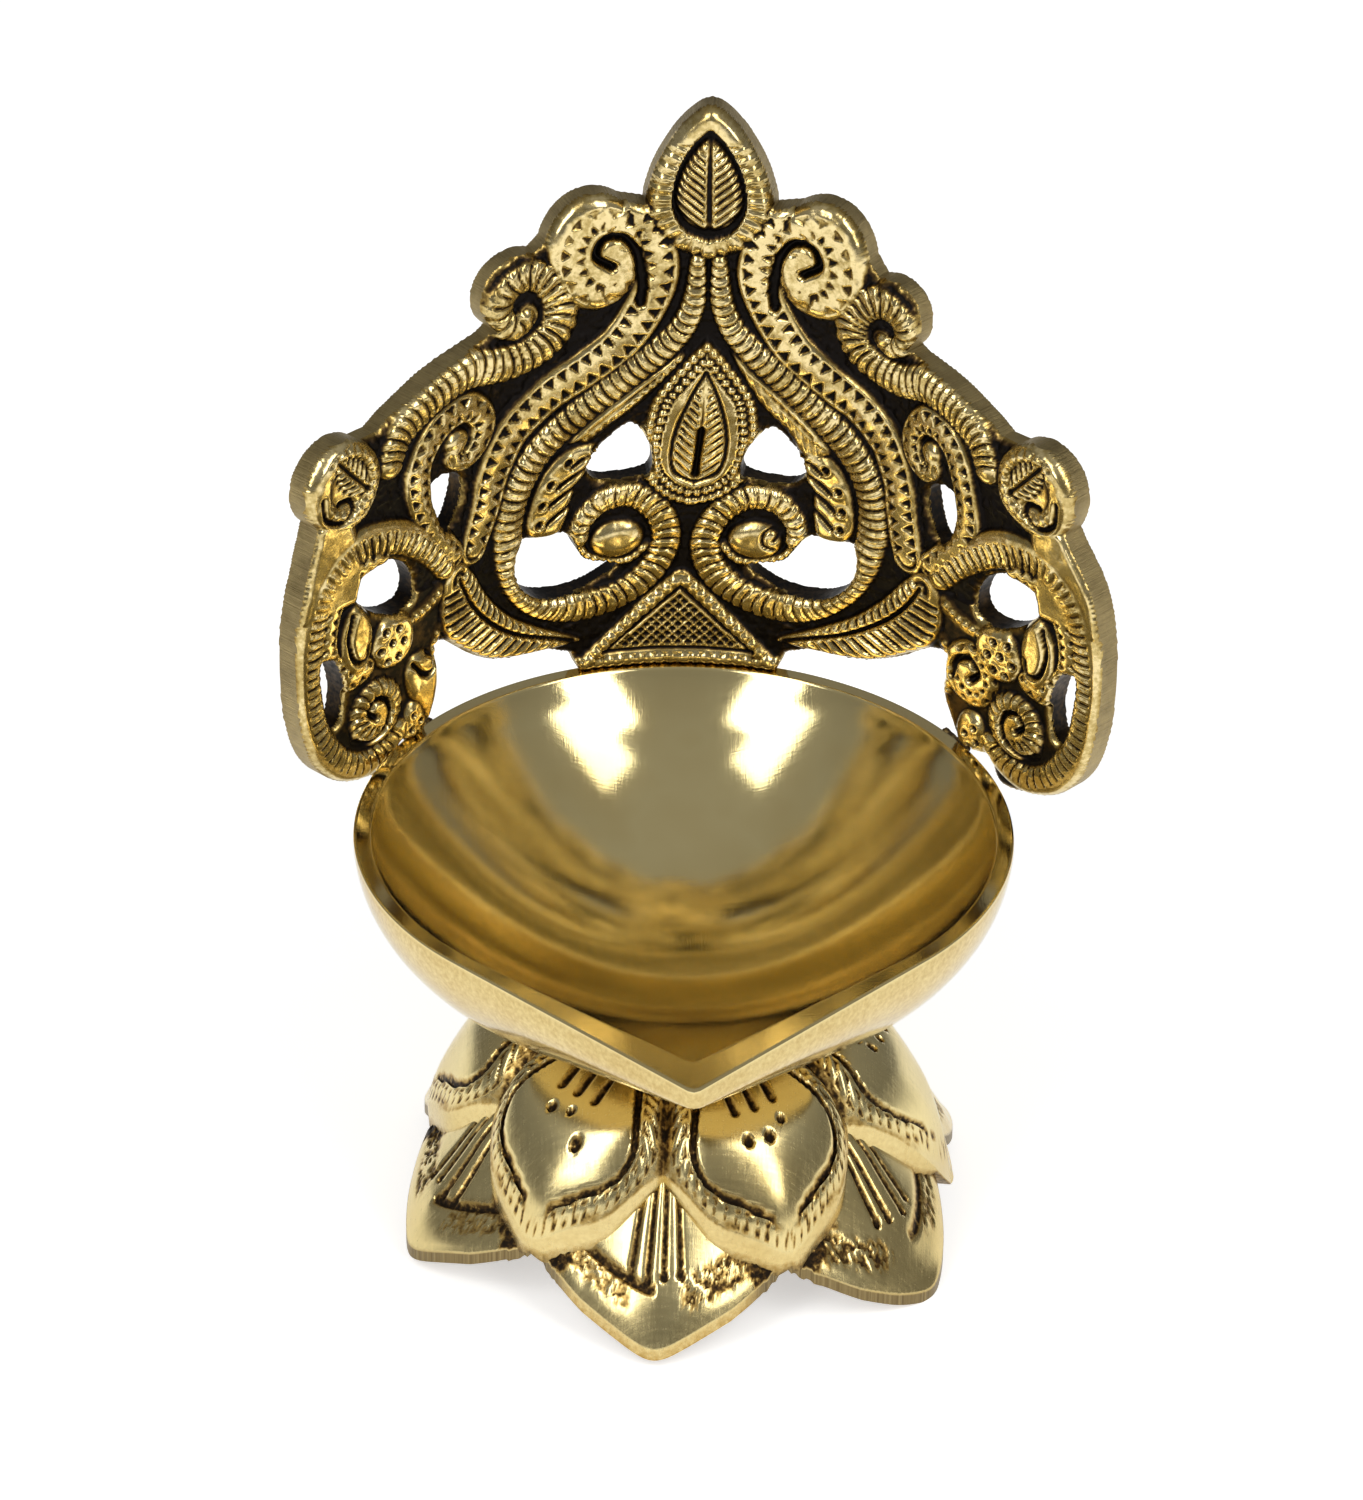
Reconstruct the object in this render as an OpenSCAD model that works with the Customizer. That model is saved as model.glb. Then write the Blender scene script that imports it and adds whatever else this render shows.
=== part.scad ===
// Brass diya: a lotus foot, a lipped oil bowl and an openwork crest bent round the bowl's back.
// The frame is +Z up, with X to the right, the pouring lip towards -Y and the origin under the
// bowl's axis on the surface that the foot stands on. Millimetres throughout.

/* [Bowl] */
// Outer radius of the round part of the rim
bowl_r = 40; // [36:0.5:44]
// Height of the rim above the table
rim_z = 54; // [52:0.5:58]
// Depth of the bowl's outside below the rim
bowl_depth = 24; // [22:0.5:25]
// Distance from the bowl's axis to the point of the lip
lip_reach = 55.3; // [50:0.1:60]
// Thickness of the bowl's wall at the rim
bowl_wall = 2.1; // [1.6:0.1:2.6]
// Thickness of metal under the middle of the oil
bowl_floor = 3.6; // [3.4:0.1:4.5]

/* [Lotus foot] */
// Number of petals in each of the two rows
petals = 6; // [5:1:8]
// Radius to the tips of the lower petals
lower_tip_r = 37.8; // [36:0.1:39]
// Radius to the tips of the upper petals
upper_tip_r = 33.8; // [32:0.1:35]
// Height of the table that carries the bowl
table_z = 29; // [28:0.5:30]
// Turn of the foot away from the lip, as it was screwed home
foot_turn = -6; // [-30:1:30]

/* [Crest] */
// Radius of the crest's front face about the bowl's axis
crest_r = 38; // [37:0.5:39]
// Angle from the middle of the crest at which its straight wings start
wing_angle = 46; // [40:1:50]
// Thickness of the crest with its raised bands
crest_t = 4.3; // [3.5:0.1:5]
// Height of the raised bands above the sunk ground
relief = 1.3; // [0.8:0.1:1.8]
// Sideways lean of the crest's top
crest_lean = 3.1; // [0:0.1:4]

/* [Screw joint] */
// Outside diameter of the stud's thread
stud_d = 6.35; // [6:0.05:7]
// Radial play between the stud and the nut
thread_play = 0.05; // [0.02:0.01:0.1]
// Thickness of the washer under the bowl
washer_t = 1; // [0.8:0.1:1.5]
// Width of the nut across its flats
nut_flats = 11; // [10:0.5:12]
// Height of the nut, which is the length of engaged thread
nut_h = 5; // [4:0.5:6]

/* [Hidden] */
brass = "#c9a24a";
dark_brass = "#8a6a2c";
solder = "#6b5a3c";
$fn = 64;
root = 0.7;                                // how far raised work is let into the ground

foot_z = table_z + washer_t;               // underside of the bowl's foot ring
bowl_bottom_z = rim_z - bowl_depth;        // lowest point of the bowl's round outside
oil_floor_z = bowl_bottom_z + bowl_floor;
stud_top_z = oil_floor_z - 1.3;
nut_top_z = table_z - 3.5;                 // ceiling of the hollow foot
stud_end_z = nut_top_z - nut_h - 0.5;
hole_d = stud_d + 0.3;
lip_h = 2.4;                               // height of the lip's blunt end
lip_blunt = 0.8;                           // radius of the lip's blunt end
lip_metal = 6.3;                           // metal between the end of the channel and the lip's point
channel_h = 1.2;                           // depth of the channel at its end
bowl_foot_r = 9;
washer_r = 8;
bead_r = 7.4;                              // outer radius of the braze round the nut

lower_arc_r = 27;                          // radius of a lower petal's two edges
lower_arc_back = 12.6;                     // distance from the axis to their centres, along the petal
upper_arc_r = 20;
upper_arc_back = 15.1;
petal_root_z = 8.4;                        // underside of the upper petals

seam_h = 1.2;                              // size of the brazed seams outside the rim
seam_t = 1.4;

wing_start = crest_r * wing_angle * PI / 180;
ear_gap = 0.05;                            // between the rim and the ears that hang outside it
ground_r = crest_r + relief;
back_r = crest_r + crest_t;

// ---- curves ------------------------------------------------------------------------------

function ramp(t) = let (c = max(0, min(1, t))) c * c * (3 - 2 * c);

// Points on an ellipse's arc
function arc(c, rx, ry, from, to, n = 8) =
    [for (i = [0:n]) let (a = from + (to - from) * i / n) [c[0] + rx * cos(a), c[1] + ry * sin(a)]];

function catmull(a, b, c, d, t) =
    0.5 * (2 * b + (c - a) * t + (2 * a - 5 * b + 4 * c - d) * t * t
    + (3 * b - a - 3 * c + d) * t * t * t);

// A smooth run through its points, and the same closed on itself
function run(p, n = 3) = let (m = len(p) - 1)
    concat([for (i = [0:m - 1], k = [0:n - 1])
        catmull(p[max(i - 1, 0)], p[i], p[i + 1], p[min(i + 2, m)], k / n)], [p[m]]);
function ring(p, n = 3) = let (m = len(p))
    [for (i = [0:m - 1], k = [0:n - 1])
        catmull(p[(i + m - 1) % m], p[i], p[(i + 1) % m], p[(i + 2) % m], k / n)];

function unit(v) = v / norm(v);

// Outline of a band of width w along a smooth run
function band(p, w) = let (
    c = run(p, 2), m = len(c) - 1,
    d = [for (i = [0:m]) unit(c[min(i + 1, m)] - c[max(i - 1, 0)])])
    concat([for (i = [0:m]) c[i] + w / 2 * [-d[i][1], d[i][0]]],
        [for (i = [m:-1:0]) c[i] - w / 2 * [-d[i][1], d[i][0]]]);

// ---- crest: flat pattern in [distance from the middle, height above the rim] ----------------

crest_half = concat(
    [[0, 0], [12.3, 0]],
    run([[13.2, 2.6], [17, 3.9], [21, 4], [25, 5.1], [29, 7.6], [32.5, 10.4], [35.8, 11.4]]),
    run([[35.5, 8.5], [35.3, 5.6], [36.4, 2.8], [37.6, 0]]),
    [[42.8, 0]],
    run([[44.4, -3.2], [49, -2.6], [54, -0.6], [57.5, 3.6], [59.3, 9.5], [59.8, 16], [59.4, 23],
        [57.8, 29], [54.9, 34.4]]),
    arc([49.7, 39.5], 6, 6, -40, 128),
    run([[43.4, 44.2], [40, 46], [35, 48], [30, 49.2], [27.2, 49.9]]),
    arc([22.8, 54.3], 5, 5, -48, 112),
    arc([13.7, 58.7], 6.1, 7.8, 14, 122),
    run([[7.6, 64.6], [7.3, 66.5], [6.2, 70], [3.9, 74.3], [1.5, 77], [0, 77.7]]));

openings_half = [
    ring([[5.8, 27.4], [6, 31.6], [8.2, 34.4], [10.6, 33.2], [13.4, 29.8], [11.6, 26.9]]),
    ring([[8, 14.8], [11, 12.2], [14.4, 11.4], [18, 12], [20.8, 14.2], [22, 17.2], [21.4, 20.4],
        [18, 20.2], [14.8, 20], [12.4, 16.4]]),
    ring([[30.6, 32.4], [33.4, 34], [36, 32.6], [35.6, 29.2], [34, 26.4], [32, 27]]),
    ring([[39.2, 21.4], [40.6, 24.4], [44, 26.2], [48, 26], [49.6, 23.6], [47, 20.4],
        [43.4, 18.6], [40, 18.8]]),
    ring([[56, 16.6], [55.6, 11.4], [54.4, 6.8], [52.6, 7.4], [52, 11.6], [53.4, 16.2]])];

// Raised work: each entry is a closed outline
raised_half = [
    band([[1.9, 55], [2.2, 51], [3.8, 47.2], [6.6, 44.2], [13.4, 38.8], [17.4, 35.6],
        [20.4, 32.2], [22.6, 28], [23.6, 23.6], [23.2, 19], [21, 14.2], [17.6, 10.8],
        [13.4, 9.4], [9.4, 9.8], [5.8, 11.8], [3.4, 15], [2.9, 18.8], [4.2, 22.2],
        [7.2, 24], [10.4, 23.6]], 2.6),
    band([[15.2, 54.6], [17, 58.4], [16, 62.2], [12.8, 63.8], [9.6, 62.4], [7.6, 59],
        [7.2, 54.6], [8.8, 50], [12, 46.4], [16.2, 43.4], [20.4, 40.4], [24, 36.6],
        [26.3, 32], [27.4, 27.6]], 3),
    band([[42.6, 39.2], [41.4, 41.8], [38.4, 44.2], [34.4, 45.9], [30, 46.7], [25.6, 46.2],
        [21.6, 47], [18.8, 49.4], [18.4, 52.6], [20, 55.2], [22.8, 56]], 2.8),
    band([[30.2, 39.6], [31.8, 41.6], [34.4, 41.2], [36.8, 38.8], [38.1, 35], [37.9, 30.8],
        [36.4, 27.4], [34.6, 24.6]], 2.2),
    band([[35.8, 22.6], [38.2, 26], [42.2, 29], [46.8, 30.4], [51.4, 29.6], [55, 26.2],
        [57.4, 20.4], [57.7, 13.4], [56.4, 6.8], [53.6, 2.4], [49.8, 0.6], [46.6, 1.6],
        [45, 4.4], [45.2, 7.4]], 2.6),
    band([[52.8, 24], [53.6, 20], [52.4, 17]], 2),
    ring([[13.6, 5.2], [18, 7.4], [22.4, 10.2], [26.4, 14.2], [29.6, 18.4], [32.4, 20.2],
        [34.2, 16.6], [33, 12.6], [28.4, 8.8], [22, 5.6]], 2),
    ring([[15, 28.4], [17.4, 28.2], [19.4, 26.2], [20.2, 23], [17.6, 22.2], [15.2, 23.4]], 2),
    arc([12, 56], 2.6, 2.4, 0, 345, 15),
    arc([23.6, 52.4], 2.4, 1.7, 0, 345, 15),
    arc([31.6, 37.4], 1.9, 1.8, 0, 345, 15),
    arc([49.7, 39.5], 4.6, 4.6, 0, 345, 23),
    arc([8.3, 18.9], 3.4, 2.7, 0, 345, 15),
    arc([50, 17.8], 1.7, 2.2, 0, 345, 15),
    arc([45.2, 15.4], 1.9, 2.6, 0, 345, 15),
    arc([48.4, 7.6], 1.7, 2.2, 0, 345, 15),
    arc([39, 7.6], 2.2, 3.2, 0, 345, 15)];

finial = ring([[0, 57.6], [3.8, 59.6], [6.2, 64], [5.4, 69], [2.8, 74], [0, 76.8],
    [-2.8, 74], [-5.4, 69], [-6.2, 64], [-3.8, 59.6]]);
medallion = ring([[0, 24.6], [3.2, 26.6], [4.9, 31], [4, 36.6], [1.6, 41.2], [0, 43.4],
    [-1.6, 41.2], [-4, 36.6], [-4.9, 31], [-3.2, 26.6]]);
basket_weave = [[-10.4, 1], [10.4, 1], [0, 11.6]];

// The casting is a little askew: the middle leans over and the ears sit to one side
function skew(u, v) = let (side = ramp((abs(u) - 20) / 25))
    crest_lean * ramp((v - 5) / 40) * (1 - side) + side * (2.4 - 1.7 * ramp((v - 28) / 10));
function laid(p) = [p[0] + skew(p[0], p[1]), rim_z + p[1]];

// Flat pattern to the plane of one panel: 0 is the round middle seen along Y, -1 and 1 the wings
function round_x(s) = let (a = min(abs(s), wing_start))
    sign(s) * (crest_r * sin(a / crest_r * 180 / PI) + (abs(s) - a) * cos(wing_angle));
function on_panel(p, panel) = let (q = laid(p))
    panel == 0 ? [round_x(q[0]), q[1]] : [panel * q[0] - wing_start, q[1]];
function placed(points, panel) = [for (p = points) on_panel(p, panel)];
function flipped(points) = [for (i = [len(points) - 1:-1:0]) [-points[i][0], points[i][1]]];

module crest_sheet(panel) {
    difference() {
        polygon(placed(concat(crest_half, flipped(crest_half)), panel));
        for (hole = openings_half) {
            polygon(placed(hole, panel));
            polygon(placed(flipped(hole), panel));
        }
    }
}

module crest_bands(panel) {
    for (piece = raised_half) {
        polygon(placed(piece, panel));
        polygon(placed(flipped(piece), panel));
    }
    polygon(placed(finial, panel));
    polygon(placed(medallion, panel));
    polygon(placed(basket_weave, panel));
}

// The round middle panel, between two radii
module middle_wall(r0, r1) {
    intersection() {
        rotate([0, 0, 90 - wing_angle])
            rotate_extrude(angle = 2 * wing_angle, $fn = 180)
                translate([r0, rim_z - 5])
                    square([r1 - r0, 90]);
        translate([0, back_r + 2, 0])
            rotate([90, 0, 0])
                linear_extrude(back_r)
                    children();
    }
}

// A straight wing from depth d0 to depth d1 behind the front face; side is -1 or 1
module wing_wall(side, d0, d1) {
    mirror([side < 0 ? 1 : 0, 0, 0])
        rotate([0, 0, -wing_angle])
            translate([0, crest_r + d1, 0])
                rotate([90, 0, 0])
                    linear_extrude(d1 - d0)
                        intersection() {
                            translate([0, rim_z - 5])
                                square([60, 90]);
                            children();
                        }
}

module back_crest() {
    color(brass)
        difference() {
            union() {
                middle_wall(ground_r, back_r) crest_sheet(0);
                middle_wall(crest_r, ground_r + root) crest_bands(0);
                for (side = [-1, 1]) {
                    wing_wall(side, relief, crest_t) crest_sheet(side);
                    wing_wall(side, 0, relief + root) crest_bands(side);
                    rotate([0, 0, -side * wing_angle])
                        translate([-1, crest_r + relief + 1, rim_z + 40])
                            cube([2, 1.2, 5]);
                }
            }
            translate([0, 0, rim_z - 10])
                cylinder(h = 10, r = bowl_r + ear_gap, $fn = 120);
        }
}

// ---- lotus foot ------------------------------------------------------------------------------

lower_dome = [[0, 0], [lower_tip_r + 0.4, 0], [lower_tip_r + 0.4, 1.3], [36, 3.6], [33, 7.6],
    [29.5, 12], [26, 16.5], [22, 21], [16, 24.5], [0, 25]];
upper_dome = [[0, petal_root_z], [upper_tip_r + 0.4, petal_root_z], [upper_tip_r - 0.2, 10.4], [32.4, 13.6],
    [30, 18.4], [26.5, 23.2], [22, 26.6], [16, table_z - 0.4], [13, table_z], [0, table_z]];
hollow_dome = [[0, -1], [37, -1], [34.4, 1.6], [31.3, 5.6], [27.8, 10.2], [24.2, 14.8],
    [20.5, 18.8], [15, 22.2], [12, nut_top_z], [0, nut_top_z]];

// A petal in plan, with its tip on +X: two arcs that meet at the tip
module petal(tip_r, arc_r, back_x) {
    half = sqrt(arc_r * arc_r - (tip_r - back_x) * (tip_r - back_x));
    intersection() {
        translate([back_x, half])
            circle(arc_r, $fn = 90);
        translate([back_x, -half])
            circle(arc_r, $fn = 90);
    }
}

module petal_row(turn, tip_r, arc_r, back_x) {
    for (i = [0:petals - 1])
        rotate([0, 0, -90 + foot_turn + turn + i * 360 / petals])
            translate([0, 0, -2])
                linear_extrude(table_z + 4)
                    petal(tip_r, arc_r, back_x);
}

module dome(profile) {
    rotate_extrude($fn = 120)
        polygon(profile);
}

module lotus_foot() {
    color(brass)
        difference() {
            union() {
                intersection() {
                    dome(lower_dome);
                    petal_row(0, lower_tip_r, lower_arc_r, lower_arc_back);
                }
                intersection() {
                    dome(upper_dome);
                    petal_row(180 / petals, upper_tip_r, upper_arc_r, upper_arc_back);
                }
                translate([0, 0, petal_root_z])
                    cylinder(h = table_z - petal_root_z, r = 15);
            }
            dome(hollow_dome);
            translate([0, 0, nut_top_z - 1])
                cylinder(h = 10, d = hole_d);
        }
}

// ---- screw joint -------------------------------------------------------------------------------

module captive_nut() {
    color(dark_brass)
        difference() {
            translate([0, 0, nut_top_z - nut_h])
                cylinder(h = nut_h, d = nut_flats / cos(30), $fn = 6);
            translate([0, 0, nut_top_z - nut_h - 1])
                cylinder(h = nut_h + 2, d = stud_d + 2 * thread_play);
        }
}

module nut_braze() {
    color(solder)
        difference() {
            translate([0, 0, nut_top_z - 1.4])
                cylinder(h = 1.4, r1 = bead_r - 0.6, r2 = bead_r + 0.6);
            translate([0, 0, nut_top_z - 2])
                cylinder(h = 3, d = nut_flats / cos(30), $fn = 6);
        }
}

module seat_washer() {
    color(dark_brass)
        translate([0, 0, table_z])
            difference() {
                cylinder(h = washer_t, r = washer_r);
                translate([0, 0, -1])
                    cylinder(h = washer_t + 2, d = hole_d);
            }
}

module threaded_stud() {
    color(dark_brass) {
        translate([0, 0, stud_end_z + 0.6])
            cylinder(h = stud_top_z - stud_end_z - 0.6, d = stud_d);
        translate([0, 0, stud_end_z])
            cylinder(h = 0.6, d1 = stud_d - 1.2, d2 = stud_d);
    }
}

// ---- bowl ------------------------------------------------------------------------------------------

// Half section of a round bowl of the given rim radius and depth, open at the top
function bowl_section(r, depth, top) =
    concat([[0, top], [r, top]],
        [for (i = [1:9]) let (a = i * 10) [r * cos(a), rim_z - depth * sin(a)]]);

// Half section of the round hollow: a paraboloid, with a straight piece up to top
function hollow_section(r, depth, top) =
    concat([[0, top], [r, top]],
        [for (i = [12:-1:0]) let (x = r * i / 12) [x, rim_z - depth * (1 - pow(x / r, 2))]]);

// A round half section drawn out to the lip
module lipped(section, top, reach, lip_bottom) {
    hull() {
        rotate_extrude()
            polygon(section);
        translate([0, -reach + lip_blunt, lip_bottom])
            cylinder(h = top - lip_bottom, r = lip_blunt, $fn = 24);
    }
}

module oil_bowl() {
    color(brass)
        difference() {
            union() {
                lipped(bowl_section(bowl_r, bowl_depth, rim_z), rim_z, lip_reach, rim_z - lip_h);
                translate([0, 0, foot_z])
                    cylinder(h = 3, r = bowl_foot_r);
            }
            lipped(hollow_section(bowl_r - bowl_wall, bowl_depth - bowl_floor, rim_z + 0.5), rim_z + 0.5,
                lip_reach - lip_metal, rim_z - channel_h);
            translate([0, 0, foot_z - 1])
                cylinder(h = stud_top_z - foot_z + 1, d = stud_d);
        }
}

// ---- brazed seams ----------------------------------------------------------------------------------

// A bead in the corner under the crest, against the outside of the rim
module seam(middle, width) {
    color(solder)
        rotate([0, 0, 90 - middle - width / 2])
            rotate_extrude(angle = width, $fn = 180)
                polygon([[bowl_r, rim_z], [bowl_r, rim_z - seam_h], [bowl_r + seam_t, rim_z]]);
}

module crest_braze() {
    seam(0, 30);
}

module right_ear_braze() {
    seam(58.5, 8);
}

module left_ear_braze() {
    seam(-54, 8);
}

lotus_foot();
captive_nut();
nut_braze();
seat_washer();
threaded_stud();
oil_bowl();
back_crest();
crest_braze();
left_ear_braze();
right_ear_braze();
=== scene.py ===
import math

import bpy
import numpy as np
from mathutils import Matrix, Vector


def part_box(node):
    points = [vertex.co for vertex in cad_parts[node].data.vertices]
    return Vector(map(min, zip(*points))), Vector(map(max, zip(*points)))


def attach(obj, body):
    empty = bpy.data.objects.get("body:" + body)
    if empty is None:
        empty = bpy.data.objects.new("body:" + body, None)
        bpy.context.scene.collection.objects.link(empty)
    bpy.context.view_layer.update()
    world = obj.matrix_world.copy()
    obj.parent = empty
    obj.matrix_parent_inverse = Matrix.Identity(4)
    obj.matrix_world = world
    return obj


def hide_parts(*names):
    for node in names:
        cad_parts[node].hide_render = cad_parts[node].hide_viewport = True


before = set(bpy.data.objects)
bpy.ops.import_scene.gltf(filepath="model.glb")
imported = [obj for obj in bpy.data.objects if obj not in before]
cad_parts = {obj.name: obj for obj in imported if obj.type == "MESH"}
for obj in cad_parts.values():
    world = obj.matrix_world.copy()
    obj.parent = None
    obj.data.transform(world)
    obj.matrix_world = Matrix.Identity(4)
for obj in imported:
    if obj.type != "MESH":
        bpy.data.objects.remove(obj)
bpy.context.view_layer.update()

# Sizes are in millimetres, in the frame of the CAD model: +Z up, lip towards -Y, bowl's axis at x = y = 0.
MM = 0.001


def corners(node):
    """The lowest and highest corner of a CAD node's box."""
    return [[round(c / MM, 3) for c in corner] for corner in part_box(node)]


bowl_low, bowl_high = corners("oil_bowl")
RIM_Z, BOWL_R = bowl_high[2], bowl_high[0]
BOWL_BOTTOM_Z, LIP_REACH = bowl_low[2], -bowl_low[1]
TABLE_Z = corners("lotus_foot")[1][2]
WASHER_Z = [c[2] for c in corners("seat_washer")]
WASHER_R = corners("seat_washer")[1][0]
NUT_Z = [c[2] for c in corners("captive_nut")]
NUT_FLAT = corners("captive_nut")[1][1]
STUD_Z = [c[2] for c in corners("threaded_stud")]
STUD_R = corners("threaded_stud")[1][0]
STUD_HOLE_R = STUD_R + 0.15
THREAD_PITCH = 1.27

BOWL_WALL = 2.1
BOWL_FLOOR = 3.6
BOWL_DEPTH = RIM_Z - BOWL_BOTTOM_Z
LIP_BLUNT = 0.8
LIP_H = 2.4
LIP_METAL = 6.3
CHANNEL_H = 1.2
FOOT_RING_R = 9.0
PETALS = 6
FOOT_TURN = -6
CREST_R = 38.0
WING_ANGLE = math.radians(46)
CREST_T = 4.3
RELIEF = 1.3
CREST_LEAN = 3.1
SEAM_R = 0.5


# ---- numbers and curves ----

def ramp(t):
    """A smooth step from 0 to 1 while t goes from 0 to 1."""
    t = np.clip(t, 0, 1)
    return t * t * (3 - 2 * t)


def smooth(low, high, x):
    """0 below low, 1 above high, and a smooth step between them."""
    return ramp((x - low) / (high - low))


def smooth_run(points, closed=False, steps=6):
    """Points along a Catmull-Rom curve through the given ones."""
    p = np.array(points, float)
    count = len(p)
    t = np.arange(steps)[:, None] / steps
    out = []
    for i in range(count if closed else count - 1):
        if closed:
            a, b, c, d = p[i - 1], p[i], p[(i + 1) % count], p[(i + 2) % count]
        else:
            a, b, c, d = p[max(i - 1, 0)], p[i], p[i + 1], p[min(i + 2, count - 1)]
        out.append(0.5 * (2 * b + (c - a) * t + (2 * a - 5 * b + 4 * c - d) * t ** 2
                          + (3 * b - a - 3 * c + d) * t ** 3))
    out.append(p[:1] if closed else p[-1:])
    return np.vstack(out)


def closed_run(points):
    """A smooth closed outline through the given points."""
    return smooth_run(points, True)[:-1]


def ellipse(centre, rx, ry, start=0, end=360):
    """Points along an ellipse or a part of it, between two angles in degrees."""
    angles = np.radians(np.linspace(start, end, 25))
    return np.stack([centre[0] + rx * np.cos(angles), centre[1] + ry * np.sin(angles)], 1)


def mirrored(points):
    """A closed outline from its right half, which runs from the bottom of the middle line to its top."""
    p = np.array(points, float)
    inner = p[1:-1][::-1] * [-1, 1]
    return np.vstack([p, inner])


def noise(shape, cell, seed):
    """Smooth noise from -1 to 1 on a grid; cell is its grain in grid steps."""
    source = np.random.default_rng(seed)
    rows, cols = int(shape[0] / cell) + 3, int(shape[1] / cell) + 3
    coarse = source.uniform(-1, 1, (rows, cols))
    y, x = np.arange(shape[0]) / cell, np.arange(shape[1]) / cell
    i, j = y.astype(int), x.astype(int)
    ty, tx = ramp(y - i)[:, None], ramp(x - j)[None, :]
    top = coarse[i][:, j] * (1 - tx) + coarse[i][:, j + 1] * tx
    low = coarse[i + 1][:, j] * (1 - tx) + coarse[i + 1][:, j + 1] * tx
    return top * (1 - ty) + low * ty


def blur(field, radius):
    """Box blur, run twice along each axis; radius in grid steps."""
    width = 2 * radius + 1
    for _ in range(2):
        for axis in (0, 1):
            pad = [(0, 0), (0, 0)]
            pad[axis] = (radius + 1, radius)
            total = np.cumsum(np.pad(field, pad, mode="edge"), axis=axis)
            high = np.take(total, range(width, total.shape[axis]), axis=axis)
            low = np.take(total, range(0, total.shape[axis] - width), axis=axis)
            field = (high - low) / width
    return field


def broken(way):
    """The number of the repeat that a way falls in, and the place in that repeat from -0.5 to 0.5."""
    number = np.floor(way)
    return number, way - number - 0.5


def scatter(k):
    """A repeatable number from 0 to 1 for each whole number k."""
    return np.modf(np.abs(np.sin(k * 12.9898 + 4.1) * 43758.5453))[0]


# ---- meshes ----

def new_piece(name, points, quads, material, body, slot, nodes=(), tris=(), sharp=None, **attributes):
    """A mesh object in millimetres that rides on a body and stands for CAD nodes."""
    quads = np.asarray(quads, np.int32).reshape(-1, 4)
    tris = np.asarray(tris, np.int32).reshape(-1, 3)
    sizes = np.r_[np.full(len(quads), 4), np.full(len(tris), 3)].astype(np.int32)
    corners = np.r_[quads.ravel(), tris.ravel()].astype(np.int32)
    mesh = bpy.data.meshes.new(name)
    mesh.vertices.add(len(points))
    mesh.vertices.foreach_set("co", (np.asarray(points, float) * MM).astype(np.float32).ravel())
    mesh.loops.add(len(corners))
    mesh.loops.foreach_set("vertex_index", corners)
    mesh.polygons.add(len(sizes))
    mesh.polygons.foreach_set("loop_start", np.r_[0, np.cumsum(sizes)[:-1]].astype(np.int32))
    mesh.update(calc_edges=True)
    for key, values in attributes.items():
        layer = mesh.attributes.new(key, "FLOAT", "POINT")
        layer.data.foreach_set("value", np.asarray(values, np.float32))
    mesh.validate()
    mesh.polygons.foreach_set("use_smooth", np.ones(len(mesh.polygons), bool))
    if sharp:
        mesh.set_sharp_from_angle(angle=math.radians(sharp))
    mesh.materials.append(material)
    piece = bpy.data.objects.new(name, mesh)
    bpy.context.scene.collection.objects.link(piece)
    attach(piece, body)
    if nodes:
        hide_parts(*nodes)
    return piece


def ring_faces(rings, around, loop=False):
    """Quads between neighbouring rings of points; loop also joins the last ring to the first."""
    i, j = np.meshgrid(np.arange(rings if loop else rings - 1), np.arange(around), indexing="ij")
    below, above = i * around, (i + 1) % rings * around
    turn = (j + 1) % around
    return np.stack([below + j, below + turn, above + turn, above + j], -1).reshape(-1, 4)


def fan(centre, ring, outward):
    """Triangles that close a ring of points onto one centre point."""
    a, b = ring, np.roll(ring, -1)
    middle = np.full(len(ring), centre)
    return np.stack([middle, a, b] if outward else [middle, b, a], 1)


def end_caps(count, around, inward=True):
    """Fans that close a stack of rings onto the two points that follow its count points."""
    ring = np.arange(around)
    return np.vstack([fan(count, ring, inward), fan(count + 1, count - around + ring, not inward)])


def polar(r, angle, z):
    """Points from a radius, a direction and a height."""
    r, angle, z = np.broadcast_arrays(r, angle, z)
    return np.stack([r * np.cos(angle), r * np.sin(angle), z], -1)


def turn_of(around):
    return np.arange(around) * 2 * math.pi / around


# ---- materials ----

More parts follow.
